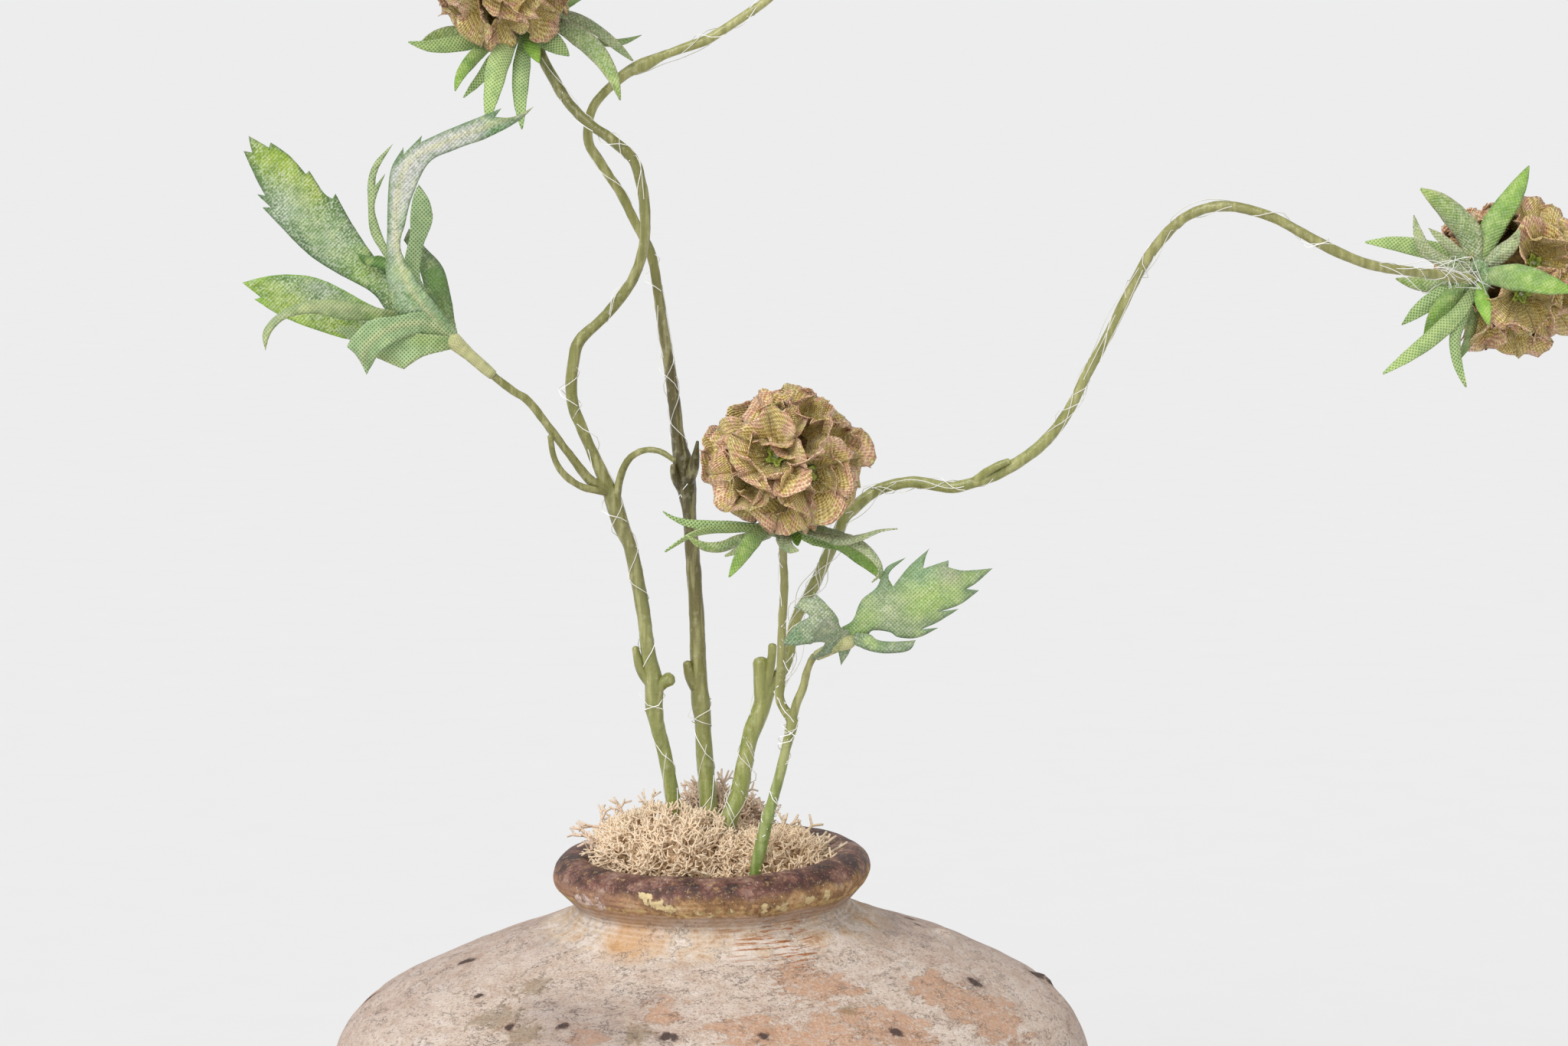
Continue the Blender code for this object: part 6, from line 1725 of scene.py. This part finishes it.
def leaf_sheet(rib, edge, look, seed):
    """One blade: points, faces and marks."""
    body_tone, left_tone, right_tone, frost_share, woven, ridge, blotches = look
    outline = smooth_outline(edge)
    path = np.array(curve_through(rib, 0.7))
    border = np.array(outline)
    low, high = border.min(0), border.max(0)
    chance = random.Random(seed)
    inner = []
    rows = int((high[1] - low[1]) / LEAF_GRAIN) + 1
    columns = int((high[0] - low[0]) / LEAF_GRAIN) + 1
    for row in range(rows):
        for column in range(columns):
            spot = low + (np.array([column + 0.5 * (row % 2), row]) + chance.uniform(0.2, 0.4)) * LEAF_GRAIN
            if np.min(np.hypot(*(border - spot).T)) > LEAF_GRAIN * 0.55:
                inner.append(tuple(spot))
    ring = [(n, (n + 1) % len(outline)) for n in range(len(outline))]
    spots, _, triangles, *_ = delaunay_2d_cdt([Vector(p) for p in [*outline, *inner]], ring, [], 1, 1e-5)
    at = np.array([tuple(s) for s in spots])
    gaps = np.hypot(at[:, 0, None] - path[None, :, 0], at[:, 1, None] - path[None, :, 2])
    nearest = np.minimum(gaps.argmin(1), len(path) - 2)
    wide = gaps.min(1)
    run = path[nearest + 1] - path[nearest]
    off = at - path[nearest][:, [0, 2]]
    side = np.sign(run[:, 0] * off[:, 1] - run[:, 2] * off[:, 0])
    to_edge = np.array([np.min(np.hypot(*(border - s).T)) for s in at])
    across_share = side * wide / (wide + to_edge + 0.3)
    ripple = np.array([noise.noise(Vector((s[0] / 7, s[1] / 7, seed))) for s in at])
    fine = np.array([noise.noise(Vector((s[0] / 2.6, s[1] / 2.6, seed))) for s in at])
    rim = np.exp(-to_edge / 2.0)
    depth = path[nearest, 1] + LEAF_CUP * wide**2 + 1.1 * ripple * rim + 0.35 * fine
    depth -= 0.35 * ridge * np.exp(-(wide / 0.7) ** 2)
    points = np.stack([at[:, 0], depth, at[:, 1]], 1)
    faces = []
    for a, b, c in triangles:
        upright = (spots[b] - spots[a]).cross(spots[c] - spots[a]) > 0
        faces.append((a, b, c) if upright else (a, c, b))

    body = np.tile(np.array(linear(body_tone)), (len(at), 1))

    def lay(share, code):
        """Blends a colour into the body by a share for each point."""
        nonlocal body
        share = np.clip(share, 0, 1)[:, None]
        body = body * (1 - share) + np.array(linear(code)) * share

    wander = 0.35 * ripple + 0.25 * fine
    lay(np.clip((across_share + wander - 0.4) / 0.5, 0, 0.95), left_tone)
    lay(np.clip((-across_share + wander - 0.4) / 0.5, 0, 0.95), right_tone)
    for spot_x, spot_z, reach, code in blotches:
        away = np.hypot(at[:, 0] - spot_x, at[:, 1] - spot_z) * (1 + 0.5 * wander)
        lay(0.95 * np.exp(-(away / reach) ** 2 * 1.3), code)
    lay(0.8 * np.exp(-to_edge / 0.6), left_tone)
    lay(ridge * 0.85 * np.exp(-(wide / 0.8) ** 2), "#D8D09A")
    frosts = frost_share * (1.0 - 0.5 * np.clip(to_edge < 0.8, 0, 1)) * (0.85 + 0.6 * ripple)
    points, faces = doubled(points, faces, LEAF_THICK)
    size = len(at)
    marks = ([list(c) for c in body] * 2, list(np.clip(frosts, 0, 1)) * 2, [woven] * size + [1.0] * size)
    return (points, faces, *marks, [tuple(p) for p in at] * 2)


def sleeve_sheet(start, seat, knob):
    """The moulded sleeve that joins a spray to its twig, as a closed tube with a knob."""
    start, seat = Vector(start), Vector(seat)
    forward = (seat - start).normalized()
    side = forward.orthogonal().normalized()
    other = forward.cross(side)
    length = (seat - start).length
    rings = [(-3.0, 1.5), (-1.5, 1.65), (0.0, 1.75), (length * 0.5, 1.85), (length - 1.5, knob * 0.92),
             (length, knob), (length + 1.0, knob * 0.9), (length + 2.0, knob * 0.45)]
    sides, points = 20, []
    for at, wide in rings:
        for _, cos, sin in circle(sides):
            points.append(tuple(start + forward * at + (side * cos + other * sin) * wide))
    count = len(points)
    points += [tuple(start + forward * at) for at in (rings[0][0], rings[-1][0] + 0.4)]
    faces = bands(len(rings), sides) + fan(count, 0, sides, True) + fan(count + 1, count - sides, sides)
    return plain_sheet(points, faces, "#CFCB92", 0.1, [(k % sides, k // sides) for k in range(len(points))])


for name, leaves, start, seat, node in (
    ("leaf_spray_blades", SPRAY_LEAVES, LEFT_LEAF_FROM, LEFT_LEAF_SEAT, "leaf_spray"),
    ("leaf_pair_blades", PAIR_LEAVES, PAIR_FROM, PAIR_SEAT, "leaf_pair"),
):
    sheets = [sleeve_sheet(start, seat, 2.6)]
    sheets += [leaf_sheet(*leaf, seed) for seed, leaf in enumerate(leaves.values())]
    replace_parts(join_sheets(name, sheets), node)

# %% [markdown]
# ## Floor and light
# The picture was taken on an endless pale ground in very soft light. A wide plane reaches past the
# picture's top edge and an even sky lights it. A large soft sun stands high in front, on the left, and a
# small lamp beside it draws the thin highlights on the satin and on the moulded stems.

# %% Floor, sky and lights
floor = placed("floor", bpy.data.meshes.new("floor"))
floor.data.from_pydata([(-40, -40, 0), (40, -40, 0), (40, 60, 0), (-40, 60, 0)], [], [(0, 1, 2, 3)])
paper, tree, place = new_material("paper_sweep_matte")
colour = between(grain(place, 1 / 30), 0.0, 1.0, 0.812, 0.832)
surface(colour, 1.0, Specular_IOR_Level=0.0)
floor.data.materials.append(paper)
floor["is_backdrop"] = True

sky = bpy.data.worlds.new("studio")
sky.use_nodes = True
sky.node_tree.nodes["Background"].inputs[0].default_value = (1.0, 1.0, 1.0, 1.0)
sky.node_tree.nodes["Background"].inputs[1].default_value = 0.56
scene.world = sky


def shine_from(name, travel, energy, spread):
    """A soft sun whose light travels along the given direction."""
    made = placed(name, bpy.data.lights.new(name, "SUN"))
    made.data.energy = energy
    made.data.angle = math.radians(spread)
    made.rotation_euler = Vector(travel).to_track_quat("-Z", "Y").to_euler()


shine_from("key", (0.36, 0.66, -0.66), 1.75, 55)
shine_from("spark", (0.42, 0.50, -0.76), 0.42, 9)

scene.view_settings.view_transform = "Standard"
scene.view_settings.look = "None"

# %% Measure and finish
for kind in (sprigs, cups, stars):
    for item in list(kind.objects):
        bpy.data.objects.remove(item, do_unlink=True)
    bpy.data.collections.remove(kind)
low, high = (list(corner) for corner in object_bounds())
print("visual box:", low, high)
